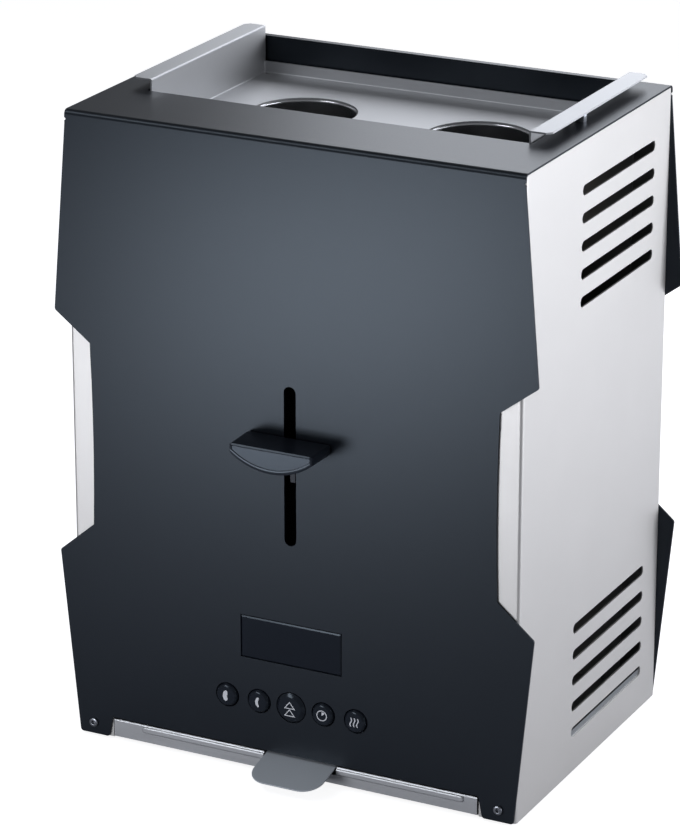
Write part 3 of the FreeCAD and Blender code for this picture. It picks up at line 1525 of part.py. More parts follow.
def make_cord_gland():
    """The bush in the back where a mains cord would enter."""
    place_out = (gland_x, back_y, gland_z)
    flange = cylinder("gland_flange", "Y", place_out, gland_radius + gland_lip, gland_lip)
    neck_y = back_inner_y - gland_neck
    neck = cylinder(
        "gland_neck", "Y", (gland_x, neck_y, gland_z), gland_radius - fit_gap, back_y - neck_y
    )
    length = back_y - neck_y + gland_lip + PAST * 2
    bore = cylinder("gland_tool", "Y", (gland_x, neck_y - PAST, gland_z), gland_bore, length)
    keep(cut("cord_gland", fuse("gland_solid", [flange, neck]), [bore]), "cord_gland")


# ---------------------------------------------------------------- drip tray


def make_drip_tray():
    """The stainless tray under the chambers: a folded lip with a pressed bead and the tab's notch."""
    body = new_body("drip_tray")
    half = flange_tip_x - drip_gap
    floor_z = foot_height + panel_sheet
    front = front_y + running_gap
    back = front + drip_length
    wall_front = front + lip_depth
    top_z = floor_z + drip_wall
    lip_top = floor_z + lip_height

    def floor(sketch):
        rectangle(sketch, -half, front, half, back)

    add(body, "XY_Plane", floor_z, floor_z + drip_sheet, floor, "Floor")

    def walls(sketch):
        rectangle(sketch, -half, wall_front, -half + drip_sheet, back - drip_sheet)
        rectangle(sketch, half - drip_sheet, wall_front, half, back - drip_sheet)
        rectangle(sketch, -half, back - drip_sheet, half, back)

    add(body, "XY_Plane", floor_z, top_z, walls, "Walls")

    def lip(sketch):
        outline(
            sketch,
            [
                (front, floor_z),
                (front + drip_sheet, floor_z),
                (front + drip_sheet, lip_top - drip_sheet),
                (wall_front, lip_top - drip_sheet),
                (wall_front, lip_top),
                (front, lip_top),
            ],
        )

    add(body, "YZ_Plane", -half, half, lip, "Lip")
    round_edges(body, 0, [(front, lip_top)], lip_bend, "LipBend")
    lip_inside = [(front + drip_sheet, lip_top - drip_sheet)]
    round_edges(body, 0, lip_inside, lip_bend - drip_sheet, "LipInnerBend")
    bead_z = floor_z + bead_rise
    bead_length = (half - bead_inset) * 2

    def bead(sketch):
        slot(sketch, tab_shift, bead_z, bead_length, bead_width)

    def groove(sketch):
        slot(sketch, tab_shift, bead_z, bead_length - drip_sheet * 2, bead_width - drip_sheet * 2)

    add(body, "XZ_Plane", front - bead_stand, front, bead, "Bead")
    bead_front = (front - bead_stand).value
    tip = body.Tip
    rim = [
        f"Edge{index + 1}"
        for index, edge in enumerate(tip.Shape.Edges)
        if all(abs(point.Point.y - bead_front) < EPS for point in edge.Vertexes)
    ]
    fillet = body.newObject("PartDesign::Fillet", "BeadEdge")
    fillet.Base = (tip, rim)
    bind(fillet, "Radius", bead_edge)
    doc.recompute()
    groove_front = front - bead_stand + drip_sheet
    remove(body, "XZ_Plane", groove_front, front + drip_sheet, groove, "Groove")
    reach = tab_width / 2 + notch_gap

    def notch(sketch):
        rectangle(sketch, tab_shift - reach, lip_top - notch_height, tab_shift + reach, lip_top + PAST)

    remove(body, "XZ_Plane", front - bead_stand - PAST, front + notch_depth, notch, "TabNotch")


def make_tray_tab():
    """The pull tab: fixed on the drip tray's lip behind its notch, sloping down out of the front."""
    body = new_body("tray_tab")
    low_x, high_x = tab_shift - tab_width / 2, tab_shift + tab_width / 2
    tip_y = front_y - tab_reach
    lip_front = front_y + running_gap
    bend_y = lip_front + notch_depth
    root_y = lip_front + tab_overlap
    low_z = foot_height + panel_sheet + lip_height
    top_z = low_z + tab_sheet

    def profile(sketch):
        outline(
            sketch,
            [
                (root_y, low_z),
                (root_y, top_z),
                (bend_y, top_z),
                (tip_y, top_z - tab_drop),
                (tip_y, low_z - tab_drop),
                (bend_y, low_z),
            ],
        )

    add(body, "YZ_Plane", low_x, high_x, profile, "Tongue")
    corner_bow = tab_round * (1 - math.sqrt(0.5))

    def corners(sketch):
        for side, x in ((-1, low_x), (1, high_x)):
            first, *rest = [
                (x + PAST * side, tip_y - PAST),
                (x + PAST * side, tip_y + tab_round),
                (x, tip_y + tab_round),
                (x - tab_round * side, tip_y),
                (x - tab_round * side, tip_y - PAST),
            ]
            # Both outlines are turned so that their arc, the third run, goes anticlockwise.
            outline(sketch, [first, *rest[::-side]], {2: -corner_bow})

    remove(body, "XY_Plane", low_z - tab_drop - PAST, top_z + PAST, corners, "Corners")


# ---------------------------------------------------------------- build, check and write

make_outer_shell()
make_side_panel("left_side_panel", -1)
make_side_panel("right_side_panel", 1)
make_base_plate()
make_feet()
make_corner_screws()
make_tray_well()
make_holder_tray()
make_grip_rests()
make_heat_shields()
for side, x in (("left", -chamber_x), ("right", chamber_x)):
    make_cage(f"{side}_sausage_cage", x)
    make_chamber_tube(f"{side}_chamber_tube", x)
    make_heaters(side, x)
    make_platform(f"{side}_lift_platform", x)
make_brackets()
make_guide("left", -rod_x)
make_guide("right", rod_x)
make_lift_carriage()
make_lever_knob()
make_magnet()
make_control_housing()
make_display()
make_control_board()
for name, (step, radius) in zip(KEY_NAMES, key_places()):
    make_key(name, step, radius)
make_power_supply()
make_cord_gland()
make_drip_tray()
make_tray_tab()
doc.recompute()

for thing in doc.Objects:
    if {"Invalid", "Error"} & set(thing.State):
        raise ValueError(f"{thing.Label} did not build: {thing.State}")
for node in nodes:
    if node.Shape.isNull() or not node.Shape.isValid() or not node.Shape.Solids:
        raise ValueError(f"{node.Label} has no valid shape")

os.makedirs("parts", exist_ok=True)
for node in nodes:
    node.Shape.exportStep(os.path.join("parts", node.Label + ".step"))
    print(node.Label, len(node.Shape.Solids), round(node.Shape.Volume, 1))
print(len(nodes), "nodes")
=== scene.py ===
import math

import bmesh
import bpy
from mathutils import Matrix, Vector


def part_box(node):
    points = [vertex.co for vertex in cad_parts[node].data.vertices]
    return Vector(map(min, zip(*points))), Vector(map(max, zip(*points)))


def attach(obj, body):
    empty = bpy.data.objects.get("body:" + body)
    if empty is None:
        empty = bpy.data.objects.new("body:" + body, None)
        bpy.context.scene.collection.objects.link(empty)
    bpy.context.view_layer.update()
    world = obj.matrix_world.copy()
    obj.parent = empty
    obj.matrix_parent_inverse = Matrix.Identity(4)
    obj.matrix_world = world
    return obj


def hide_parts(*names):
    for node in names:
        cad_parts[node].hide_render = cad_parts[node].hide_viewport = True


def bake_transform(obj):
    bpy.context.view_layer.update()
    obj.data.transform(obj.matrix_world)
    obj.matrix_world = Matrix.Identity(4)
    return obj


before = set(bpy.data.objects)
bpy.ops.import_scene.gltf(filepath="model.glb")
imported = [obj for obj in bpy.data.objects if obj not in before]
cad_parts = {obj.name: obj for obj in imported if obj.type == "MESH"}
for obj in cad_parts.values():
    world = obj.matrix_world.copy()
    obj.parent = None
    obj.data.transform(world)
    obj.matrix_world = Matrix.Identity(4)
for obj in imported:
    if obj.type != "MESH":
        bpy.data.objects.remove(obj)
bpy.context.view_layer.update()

# ------------------------------------------------------------------ camera, lamps and floor
# The toaster stands on pale studio paper. It is seen from the front right and a little above,
# through a long lens, which keeps its upright edges nearly parallel.
CAMERA_AZIMUTH = math.radians(26.95)
CAMERA_ELEVATION = math.radians(20.13)
CAMERA_DISTANCE = 2.259
CAMERA_LENS = 167.6
CAMERA_REACH = 50
AIM_ASIDE = -0.0179
AIM_RAISED = -0.0036
AIM_CENTRE = Vector((0, 0.0115, 0.19075))


def toward(azimuth, elevation):
    """The unit direction from the toaster to a place at this bearing; azimuth 0 is the front."""
    level = math.cos(elevation)
    return Vector((math.sin(azimuth) * level, -math.cos(azimuth) * level, math.sin(elevation)))


def linear(code):
    """An sRGB hex colour as the linear colour that a shader takes."""
    parts = [int(code[at : at + 2], 16) / 255 for at in (0, 2, 4)]
    return (*(p / 12.92 if p <= 0.04045 else ((p + 0.055) / 1.055) ** 2.4 for p in parts), 1.0)


def add(tree, kind, sockets=None, **settings):
    """Adds a node; each named input is linked to a socket or set to a value."""
    node = tree.nodes.new(kind)
    for name, value in settings.items():
        setattr(node, name, value)
    for name, value in (sockets or {}).items():
        if isinstance(value, bpy.types.NodeSocket):
            tree.links.new(value, node.inputs[name])
        else:
            node.inputs[name].default_value = value
    return node


def place(thing):
    """Links a new object to the scene and gives it back."""
    bpy.context.scene.collection.objects.link(thing)
    return thing


view_back = toward(CAMERA_AZIMUTH, CAMERA_ELEVATION)
view_right = Vector((math.cos(CAMERA_AZIMUTH), math.sin(CAMERA_AZIMUTH), 0))
view_up = view_back.cross(view_right)
camera = place(bpy.data.objects.new("camera", bpy.data.cameras.new("camera")))
camera.data.lens = CAMERA_LENS
camera.data.clip_end = CAMERA_REACH
camera.location = (
    AIM_CENTRE + view_right * AIM_ASIDE + view_up * AIM_RAISED + view_back * CAMERA_DISTANCE
)
camera.rotation_euler = (-view_back).to_track_quat("-Z", "Y").to_euler()
bpy.context.scene.camera = camera

LAMP_COLOUR = "F5F8FF"


def lamp(name, azimuth, elevation, distance, wide, high, power):
    """A rectangular studio lamp that faces the toaster's middle: degrees, metres and watts."""
    data = bpy.data.lights.new(name, "AREA")
    data.shape = "RECTANGLE"
    data.size, data.size_y, data.energy = wide, high, power
    data.color = linear(LAMP_COLOUR)[:3]
    holder = place(bpy.data.objects.new(name, data))
    out = toward(math.radians(azimuth), math.radians(elevation))
    holder.location = AIM_CENTRE + out * distance
    holder.rotation_euler = out.to_track_quat("Z", "Y").to_euler()
    holder.visible_camera = False


# A soft box straight behind throws the shadow to the front. A large lamp, low on the right, lights
# the side. A narrow strip, high on the front left, catches the bevels, and a small low lamp in
# front gives the coated front its sheen.
lamp("rear_lamp", azimuth=180, elevation=36, distance=1.0, wide=1.0, high=0.6, power=4.7)
lamp("side_lamp", azimuth=112, elevation=4, distance=1.3, wide=1.3, high=1.2, power=20)
lamp("fill_lamp", azimuth=-37, elevation=44, distance=1.6, wide=0.9, high=0.26, power=4.2)
lamp("front_lamp", azimuth=-20, elevation=-7.5, distance=0.82, wide=0.3, high=0.14, power=1.75)

SKY_COLOUR = "F4F7FC"
SKY_STRENGTH = 0.19
scene = bpy.context.scene
scene.view_settings.view_transform = "Standard"
scene.world = bpy.data.worlds.new("studio")
scene.world.use_nodes = True
sky = scene.world.node_tree
sky.nodes.clear()
air = add(sky, "ShaderNodeBackground", {"Color": linear(SKY_COLOUR), "Strength": SKY_STRENGTH})
add(sky, "ShaderNodeOutputWorld", {"Surface": air.outputs[0]})

# The paper lies a hair below the feet, so that no two faces share a plane.
FLOOR_REACH = 12
FLOOR_Z = -0.0002
FLOOR_GLOW = 0.88
FLOOR_COLOUR = "C2C2C6"
corners = [(-1, -1), (1, -1), (1, 1), (-1, 1)]
floor_mesh = bpy.data.meshes.new("floor")
floor_mesh.from_pydata(
    [(x * FLOOR_REACH, y * FLOOR_REACH, FLOOR_Z) for x, y in corners], [], [(0, 1, 2, 3)]
)
floor = place(bpy.data.objects.new("floor", floor_mesh))
# Matt white studio paper, which glows a little for the camera alone.
paper = bpy.data.materials.new("studio_paper")
paper.use_nodes = True
tree = paper.node_tree
tree.nodes.clear()
rays = add(tree, "ShaderNodeLightPath").outputs
seen = add(tree, "ShaderNodeMath", {0: rays["Is Camera Ray"], 1: FLOOR_GLOW}, operation="MULTIPLY")
glow = add(tree, "ShaderNodeEmission", {"Strength": seen.outputs[0]})
matt = add(tree, "ShaderNodeBsdfDiffuse", {"Color": linear(FLOOR_COLOUR)})
both = add(tree, "ShaderNodeAddShader", {0: matt.outputs[0], 1: glow.outputs[0]})
add(tree, "ShaderNodeOutputMaterial", {"Surface": both.outputs[0]})
floor_mesh.materials.append(paper)

# ------------------------------------------------------------------ outer shell
# Front, top and back are bent from one 1.2 mm steel sheet, laser cut and coated with a satin
# black polyester powder. The oven leaves a blue-black skin with a very fine orange peel and
# slightly rounded edges.
MM = 0.001
WELD = 1e-6
TONE_PATCH = 55.6
FLAT_ANGLE = 0.5
EDGE_ANGLE = 40


def material(name, colour, roughness, metallic=0.0, sockets=None):
    """A new material with one surface shader."""
    made = bpy.data.materials.new(name)
    made.use_nodes = True
    made.node_tree.nodes.clear()
    values = {"Base Color": linear(colour), "Roughness": roughness, "Metallic": metallic}
    values.update(sockets or {})
    surface = add(made.node_tree, "ShaderNodeBsdfPrincipled", values, name="surface")
    add(made.node_tree, "ShaderNodeOutputMaterial", {"Surface": surface.outputs[0]})
    return made


def skin(made, grain, depth, swing=0.03, tone=0.06, run=(1, 1, 1)):
    """Gives a surface its fine relief, and lets its gloss and its tone wander a little.

    grain and depth are in millimetres; run stretches the grain along X, Y and Z.
    """
    tree = made.node_tree
    surface = tree.nodes["surface"]
    spot = add(tree, "ShaderNodeTexCoord").outputs["Object"]
    density = [1 / (grain * MM * length) for length in run]
    fine = add(tree, "ShaderNodeMapping", {"Vector": spot, "Scale": density}).outputs[0]
    fine = add(tree, "ShaderNodeTexNoise", {"Vector": fine, "Scale": 1.0, "Detail": 3.0}).outputs[0]
    relief = {"Height": fine, "Strength": 1.0, "Distance": depth * MM}
    relief = add(tree, "ShaderNodeBump", relief).outputs[0]
    tree.links.new(relief, surface.inputs["Normal"])
    gloss = surface.inputs["Roughness"].default_value
    limits = {"Value": fine, "To Min": gloss - swing, "To Max": gloss + swing}
    tree.links.new(add(tree, "ShaderNodeMapRange", limits).outputs[0], surface.inputs["Roughness"])
    colour = surface.inputs["Base Color"].default_value[:3]
    patches = {"Vector": spot, "Scale": 1 / (TONE_PATCH * MM), "Detail": 2.0}
    tones = add(tree, "ShaderNodeValToRGB", {0: add(tree, "ShaderNodeTexNoise", patches).outputs[0]})
    for stop, share in zip(tones.color_ramp.elements, (1 - tone, 1 + tone)):
        stop.color = (*(min(part * share, 1) for part in colour), 1)
    tree.links.new(tones.outputs[0], surface.inputs["Base Color"])
    return made


def dress(made, *names):
    """Gives CAD nodes this material."""
    for name in names:
        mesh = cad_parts[name].data
        mesh.materials.clear()
        mesh.materials.append(made)


def settle(piece, body, slot, *nodes):
    """The piece rides a body and stands for its CAD nodes, which it hides. slot is not used."""
    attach(piece, body)
    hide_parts(*nodes)
    return piece


def eased(node, name, made, body, slot, edge):
    """A CAD sheet with its sharp edges eased by a small round, as deburring or coating leaves."""
    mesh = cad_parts[node].data.copy()
    mesh.name = name
    form = bmesh.new()
    form.from_mesh(mesh)
    bmesh.ops.remove_doubles(form, verts=form.verts, dist=WELD)
    bmesh.ops.dissolve_limit(
        form, angle_limit=math.radians(FLAT_ANGLE), verts=form.verts, edges=form.edges
    )
    form.to_mesh(mesh)
    form.free()
    mesh.materials.clear()
    mesh.materials.append(made)
    mesh.shade_smooth()
    piece = place(bpy.data.objects.new(name, mesh))
    rounding = piece.modifiers.new("eased_edges", "BEVEL")
    rounding.width = edge * MM
    rounding.segments = 2
    rounding.limit_method = "ANGLE"
    rounding.angle_limit = math.radians(EDGE_ANGLE)
    flat = piece.modifiers.new("flat_faces", "WEIGHTED_NORMAL")
    flat.mode = "FACE_AREA"
    flat.weight = 100
    return settle(piece, body, slot, node)


# The black coat and the black plastics mirror light a little cooler than it falls on them.
cool = {"Specular Tint": linear("D7E6F3")}
# The peel of the coat is finer than this; at 0.9 mm it just shows as a soft grain.
powder_coat = skin(
    material("satin_powder_coat", "0F1219", 0.36, sockets=cool),
    grain=0.9,
    depth=0.006,
    tone=0.08,
)
eased("outer_shell", "coated_shell", powder_coat, "casing", "coated_steel", edge=0.25)

# ------------------------------------------------------------------ side panels
# Two flat panels of 1 mm stainless sheet with five laser-cut vents at the top and at the foot.
# A fine brushed finish runs upwards and gives them a soft pale sheen.
# The brushing is finer than this; at 0.5 mm its streaks just show.
side_steel = skin(
    material("brushed_stainless_sheet", "DAD8D5", 0.5, 1.0),
    grain=0.5,
    depth=0.002,
    tone=0.03,
    run=(1, 1, 40),
)
for side in ("left", "right"):
    panel = f"{side}_brushed_panel"
    eased(f"{side}_side_panel", panel, side_steel, "casing", "side_steel", edge=0.2)

# ------------------------------------------------------------------ base, feet and corner screws
# A galvanised floor with folded sides joins the side panels, which stand on four rubber feet.
# Four M3 button head screws in black nickel hold the shell's lower corners to the panels.
FOOT_DISH = 0.3
FOOT_DISH_SHARE = 0.6
FOOT_RING_SHARE = 0.7
SCREW_SEGMENTS = 24
SCREW_HEAD = 2.85
SCREW_RISE = 1.65
SCREW_SOCKET = 1.15
SCREW_SOCKET_DEPTH = 1.35
SCREW_SHANK = 1.5
SCREW_LENGTH = 6.0


def turned(name, profile, centre, axis=2, segments=48):
    """A closed turned form. profile gives (radius, place along the axis) from pole to pole."""
    form = bmesh.new()
    rings = []
    for radius, along in profile:
        steps = segments if radius else 1
        ring = []
        for step in range(steps):
            angle = math.tau * step / steps
            spot = [radius * math.cos(angle), radius * math.sin(angle)]
            spot.insert(axis, along)
            ring.append(form.verts.new([(a + b) * MM for a, b in zip(spot, centre)]))
        rings.append(ring)
    for first, second in zip(rings, rings[1:]):
        for step in range(segments):
            corners = [first[step % len(first)], first[(step + 1) % len(first)]]
            corners += [second[(step + 1) % len(second)], second[step % len(second)]]
            form.faces.new(list(dict.fromkeys(corners)))
    return solid(name, form)


def solid(name, form, crease=35):
    """Makes an object of a closed form: faces outwards, smooth but for its sharp edges."""
    bmesh.ops.recalc_face_normals(form, faces=form.faces)
    mesh = bpy.data.meshes.new(name)
    form.to_mesh(mesh)
    form.free()
    mesh.shade_smooth()
    mesh.set_sharp_from_angle(angle=math.radians(crease))
    return place(bpy.data.objects.new(name, mesh))


# Hot-dip zinc sets in dull grey patches a few millimetres wide.
galvanised = skin(material("galvanised_sheet", "9DA0A3", 0.42, 1.0), grain=6, depth=0.004, tone=0.12)
dress(galvanised, "base_plate", "front_heat_shield", "rear_heat_shield", "rod_bracket", "magnet_bracket")
# Moulded rubber is nearly black and takes almost no shine.
rubber = skin(material("moulded_rubber", "1A1A1B", 0.75), grain=0.6, depth=0.01)
for corner in ("front_left", "front_right", "rear_left", "rear_right"):
    node = f"{corner}_foot"
    low, high = [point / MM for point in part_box(node)]
    radius, height = (high.x - low.x) / 2, high.z - low.z
    # Dished inside the ring that it stands on, with a rounded lower edge.
    dished = [
        (0, FOOT_DISH), (radius * FOOT_DISH_SHARE, FOOT_DISH),
        (radius * FOOT_RING_SHARE, 0), (radius * 0.92, 0),
        (radius * 0.98, height * 0.15), (radius, height * 0.4), (radius, height), (0, height),
    ]
    middle = ((low.x + high.x) / 2, (low.y + high.y) / 2, low.z)
    foot = turned(f"{corner}_rubber_foot", dished, middle)
    foot.data.materials.append(rubber)
    settle(foot, "casing", "foot_rubber", node)

# One screw, its seat at the origin and its head towards -Y: the socket, the flattened dome, which
# the shares of the head's radius and height draw, and the shank.
bore = SCREW_SOCKET * 0.98
head = [
    (0, -SCREW_RISE + SCREW_SOCKET_DEPTH),
    (bore * 0.8, -SCREW_RISE + SCREW_SOCKET_DEPTH),
    (bore, -SCREW_RISE + 0.1),
    (SCREW_SOCKET * 1.12, -SCREW_RISE),
    (SCREW_HEAD * 0.75, -SCREW_RISE + 0.04),
    (SCREW_HEAD * 0.9, -SCREW_RISE * 0.86),
    (SCREW_HEAD * 0.98, -SCREW_RISE * 0.62),
    (SCREW_HEAD, -SCREW_RISE * 0.25),
    (SCREW_HEAD * 0.97, 0),
    (SCREW_SHANK, 0),
    (SCREW_SHANK, SCREW_LENGTH),
    (0, SCREW_LENGTH),
]
screw = turned("corner_screws", head, (0, 0, 0), axis=1, segments=SCREW_SEGMENTS)


def grown(name, piece, build, amounts, made):
    """Runs a Geometry Nodes tree over a piece and leaves the plain mesh that it makes."""
    tree = bpy.data.node_groups.new(name, "GeometryNodeTree")
    tree.interface.new_socket("Geometry", in_out="OUTPUT", socket_type="NodeSocketGeometry")
    tree.interface.new_socket("Geometry", in_out="INPUT", socket_type="NodeSocketGeometry")
    named = {}
    for title, amount in amounts.items():
        kind = "NodeSocketInt" if isinstance(amount, int) else "NodeSocketFloat"
        named[title] = tree.interface.new_socket(title, in_out="INPUT", socket_type=kind).identifier
    given = add(tree, "NodeGroupInput").outputs
    real = add(tree, "GeometryNodeRealizeInstances", {0: build(tree, given)}).outputs[0]
    real = add(tree, "GeometryNodeSetMaterial", {"Geometry": real, "Material": made}).outputs[0]
    add(tree, "NodeGroupOutput", {0: real})
    modifier = piece.modifiers.new(name, "NODES")
    modifier.node_group = tree
    for title, amount in amounts.items():
        modifier[named[title]] = amount
    evaluated = piece.evaluated_get(bpy.context.evaluated_depsgraph_get())
    mesh = bpy.data.meshes.new_from_object(evaluated)
    piece.modifiers.remove(modifier)
    mesh.name = name
    mesh.materials.clear()
    mesh.materials.append(made)
    piece.data = mesh
    return piece


def four_screws(tree, given):
    """Two screws on the front and two, turned round, on the back."""
    geometry = []
    for face, turn in (("Front", 0.0), ("Back", math.pi)):
        ends = []
        for side in (-1, 1):
            out = add(tree, "ShaderNodeMath", {0: given["Spacing"], 1: side / 2}, operation="MULTIPLY")
            spot = {"X": out.outputs[0], "Y": given[face], "Z": given["Height"]}
            ends.append(add(tree, "ShaderNodeCombineXYZ", spot).outputs[0])
        line = add(
            tree, "GeometryNodeMeshLine", {"Count": 2, "Start Location": ends[0]}, mode="END_POINTS"
        )
        tree.links.new(ends[1], line.inputs["Offset"])
        spots = {"Points": line.outputs[0], "Instance": given["Geometry"], "Rotation": (0, 0, turn)}
        geometry.append(add(tree, "GeometryNodeInstanceOnPoints", spots).outputs[0])
    joined = add(tree, "GeometryNodeJoinGeometry")
    for part in geometry:
        tree.links.new(part, joined.inputs[0])
    return joined.outputs[0]


# Black nickel leaves a thin, smoky, slightly glossy skin on the steel.
black_nickel = skin(material("black_nickel_steel", "8E9197", 0.32, 1.0), grain=0.3, depth=0.002)
shell_low, shell_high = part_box("outer_shell")
screw_low, screw_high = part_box("front_screws")
grown("corner_screws", screw, four_screws, {
    "Spacing": screw_high.x - screw_low.x - 2 * SCREW_HEAD * MM,
    "Height": (screw_low.z + screw_high.z) / 2,
    "Front": shell_low.y,
    "Back": shell_high.y,
}, black_nickel)
settle(screw, "casing", "screw_steel", "front_screws", "rear_screws")

# ------------------------------------------------------------------ top well
# A box of 1 mm steel sheet with a flange, coated like the shell and fixed under the opening in the
# top. It catches crumbs, and its floor carries the holder.
dress(powder_coat, "tray_well")

# ------------------------------------------------------------------ lift-out holder
# A folded tray of satin 1 mm stainless sheet with two side grips, and a cage of bright drawn wire
# with a rolled rim welded under each of its holes. A dark domed stud stands under each grip.
# The satin brushing is finer than this; at 0.6 mm it just shows as streaks across the tray.
tray_steel = skin(
    material("satin_stainless_tray", "C6C7C9", 0.54, 1.0),
    grain=0.6,
    depth=0.002,
    tone=0.04,
    run=(30, 1, 1),
)
eased("holder_tray", "folded_holder_tray", tray_steel, "holder", "tray_steel", edge=0.18)
# Drawing polishes the wire, so it mirrors almost sharply.
bright_wire = skin(material("bright_drawn_wire", "D9DADC", 0.18, 1.0), grain=0.4, depth=0.001)
dress(bright_wire, "left_sausage_cage", "right_sausage_cage")
dress(black_nickel, "grip_rests")

# ------------------------------------------------------------------ toasting chambers
# Two tubes of rolled steel sheet, heat-tinted straw and brown. Four quartz tubes with a heating
# coil stand in each, between two rings of white ceramic.
HEATER_TUBE = 2.5
COIL_WIRE = 0.3
COIL_RADIUS = 1.5
COIL_PITCH = 3.0
COIL_INSET = 6.0

# The heat tint lies in wide, soft patches over the steel's shine.
tinted = skin(material("heat_tinted_steel", "8B8379", 0.35, 1.0), grain=12, depth=0.003, tone=0.25)
dress(tinted, "left_chamber_tube", "right_chamber_tube")
# Fired ceramic is matt and a little warm in tone.
ceramic = skin(material("fired_ceramic", "D8D2C4", 0.6), grain=0.8, depth=0.01)
for side in ("left", "right"):
    dress(ceramic, f"{side}_upper_heater_ring", f"{side}_lower_heater_ring")
# Quartz glass is smooth and clear, so the coil shows through it.
quartz = skin(
    material("quartz_glass", "F2E6DC", 0.05, sockets={"Transmission Weight": 0.85, "IOR": 1.46}),
    grain=3,
    depth=0.002,
)
dress(quartz, "left_heating_tubes", "right_heating_tubes")


def wound(tree, given):
    """Wire wound round an upright line, with one coil on each point of the piece."""
    wire = {"Resolution": given["Sides"], "Radius": given["Wire"]}
    wire = add(tree, "GeometryNodeCurvePrimitiveCircle", wire)
    coil = add(tree, "GeometryNodeCurveSpiral", {
        "Resolution": given["Steps"], "Rotations": given["Turns"], "Height": given["Height"],
        "Start Radius": given["Radius"], "End Radius": given["Radius"],
    })
    rope = {"Curve": coil.outputs[0], "Profile Curve": wire.outputs[0], "Fill Caps": True}
    rope = add(tree, "GeometryNodeCurveToMesh", rope).outputs[0]
    spots = {"Points": given["Geometry"], "Instance": rope}
    return add(tree, "GeometryNodeInstanceOnPoints", spots).outputs[0]


def wound_wires(name, spots, made, **amounts):
    """Coils of wire that stand on the given spots."""
    mesh = bpy.data.meshes.new(name)
    mesh.from_pydata(spots, [], [])
    piece = grown(name, place(bpy.data.objects.new(name, mesh)), wound, amounts, made)
    piece.data.shade_smooth()
    return piece


# Oxide leaves the wire a dull brown-grey. The real wire is thinner and wound closer; this pitch is
# the finest that still shows.
heater_wire = skin(material("oxidised_heater_wire", "6A625C", 0.5, 1.0), grain=0.3, depth=0.002)
heater_spots = []
for side in ("left", "right"):
    low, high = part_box(f"{side}_heating_tubes")
    for x in (low.x + HEATER_TUBE * MM, high.x - HEATER_TUBE * MM):
        for y in (low.y + HEATER_TUBE * MM, high.y - HEATER_TUBE * MM):
            heater_spots.append((x, y, low.z + COIL_INSET * MM))
coil_height = high.z - low.z - 2 * COIL_INSET * MM
coils = wound_wires(
    "heating_coils",
    heater_spots,
    heater_wire,
    Sides=4,
    Wire=COIL_WIRE * MM,
    Steps=8,
    Turns=coil_height / (COIL_PITCH * MM),
    Height=coil_height,
    Radius=COIL_RADIUS * MM,
)
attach(coils, "casing")

# ------------------------------------------------------------------ lift
# A folded steel carriage runs on two ground rods in bronze bushes. It carries the two drip
# platforms and the plate that the holding magnet pulls down against two springs.
SPRING_WIRE = 0.6
SPRING_TURNS = 10.0

# Ground steel mirrors sharply, with faint marks along the rod.
ground = skin(material("ground_steel_rod", "CFD0D2", 0.15, 1.0), grain=0.2, depth=0.001, run=(1, 1, 4))
dress(ground, "left_guide_rod", "right_guide_rod")
# Sintered bronze is porous and oil-soaked, which dulls and mottles its warm colour.
bronze = skin(material("sintered_bronze", "A67C3F", 0.4, 1.0), grain=0.3, depth=0.006, tone=0.15)
dress(bronze, "left_guide_bush", "right_guide_bush")
# Bare soft iron goes a dull, uneven grey.
soft_iron = skin(material("soft_iron", "6C6E70", 0.5, 1.0), grain=0.8, depth=0.006, tone=0.15)
dress(soft_iron, "armature_plate", "magnet_core")
# Zinc phosphate turns the folded carriage a dull dark grey.
phosphated = skin(material("phosphated_steel", "46484C", 0.6, 1.0), grain=0.6, depth=0.004, tone=0.12)
dress(phosphated, "lift_carriage", "left_lift_platform", "right_lift_platform")
# Drawn spring wire has a half-bright grey skin.
spring_steel = skin(material("spring_steel_wire", "8F9194", 0.28, 1.0), grain=0.3, depth=0.002)
spring_spots = []
for side in ("left", "right"):
    spring_low, spring_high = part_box(f"{side}_return_spring")
    middle = (spring_low + spring_high) / 2
    spring_spots.append((middle.x, middle.y, spring_low.z + SPRING_WIRE * MM))
springs = wound_wires(
    "return_springs",
    spring_spots,
    spring_steel,
    Sides=8,
    Wire=SPRING_WIRE * MM,
    Steps=24,
    Turns=SPRING_TURNS,
    Height=spring_high.z - spring_low.z - 2 * SPRING_WIRE * MM,
    Radius=(spring_high.x - spring_low.x) / 2 - SPRING_WIRE * MM,
)
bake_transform(springs)
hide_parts("left_return_spring", "right_return_spring")
# Enamelled copper wire is glossy red-brown, and its turns show as level lines round the coil.
enamel = skin(material("enamelled_copper", "A5542B", 0.3, 0.9), grain=0.5, depth=0.02, run=(60, 60, 1))
dress(enamel, "magnet_coil")

# ------------------------------------------------------------------ lever knob
# One moulding of black satin ABS pressed onto the lever arm: flat on top, bowed underneath, with
# a smooth sunken panel inside a rim at its front.
KNOB_END = 5.4
KNOB_TAPER = 0.5
KNOB_CORNER = 1.6
KNOB_CORNER_LEAST = 0.3
KNOB_BACK_ROUND = 1.0
KNOB_CHAMFER = 0.75
KNOB_CHAMFER_DEPTH = 0.6
KNOB_RIM = 1.3
KNOB_LIP = 0.25
KNOB_LIP_START = 0.06
KNOB_LIP_END = 0.14
KNOB_SILL = 1.2
KNOB_RECESS = 0.7
KNOB_DRAFT = 0.15
BELLY_STEPS = 28
CORNER_STEPS = 4
knob_low, knob_high = [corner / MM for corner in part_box("lever_knob")]
knob_belly = knob_high.z - KNOB_END - knob_low.z


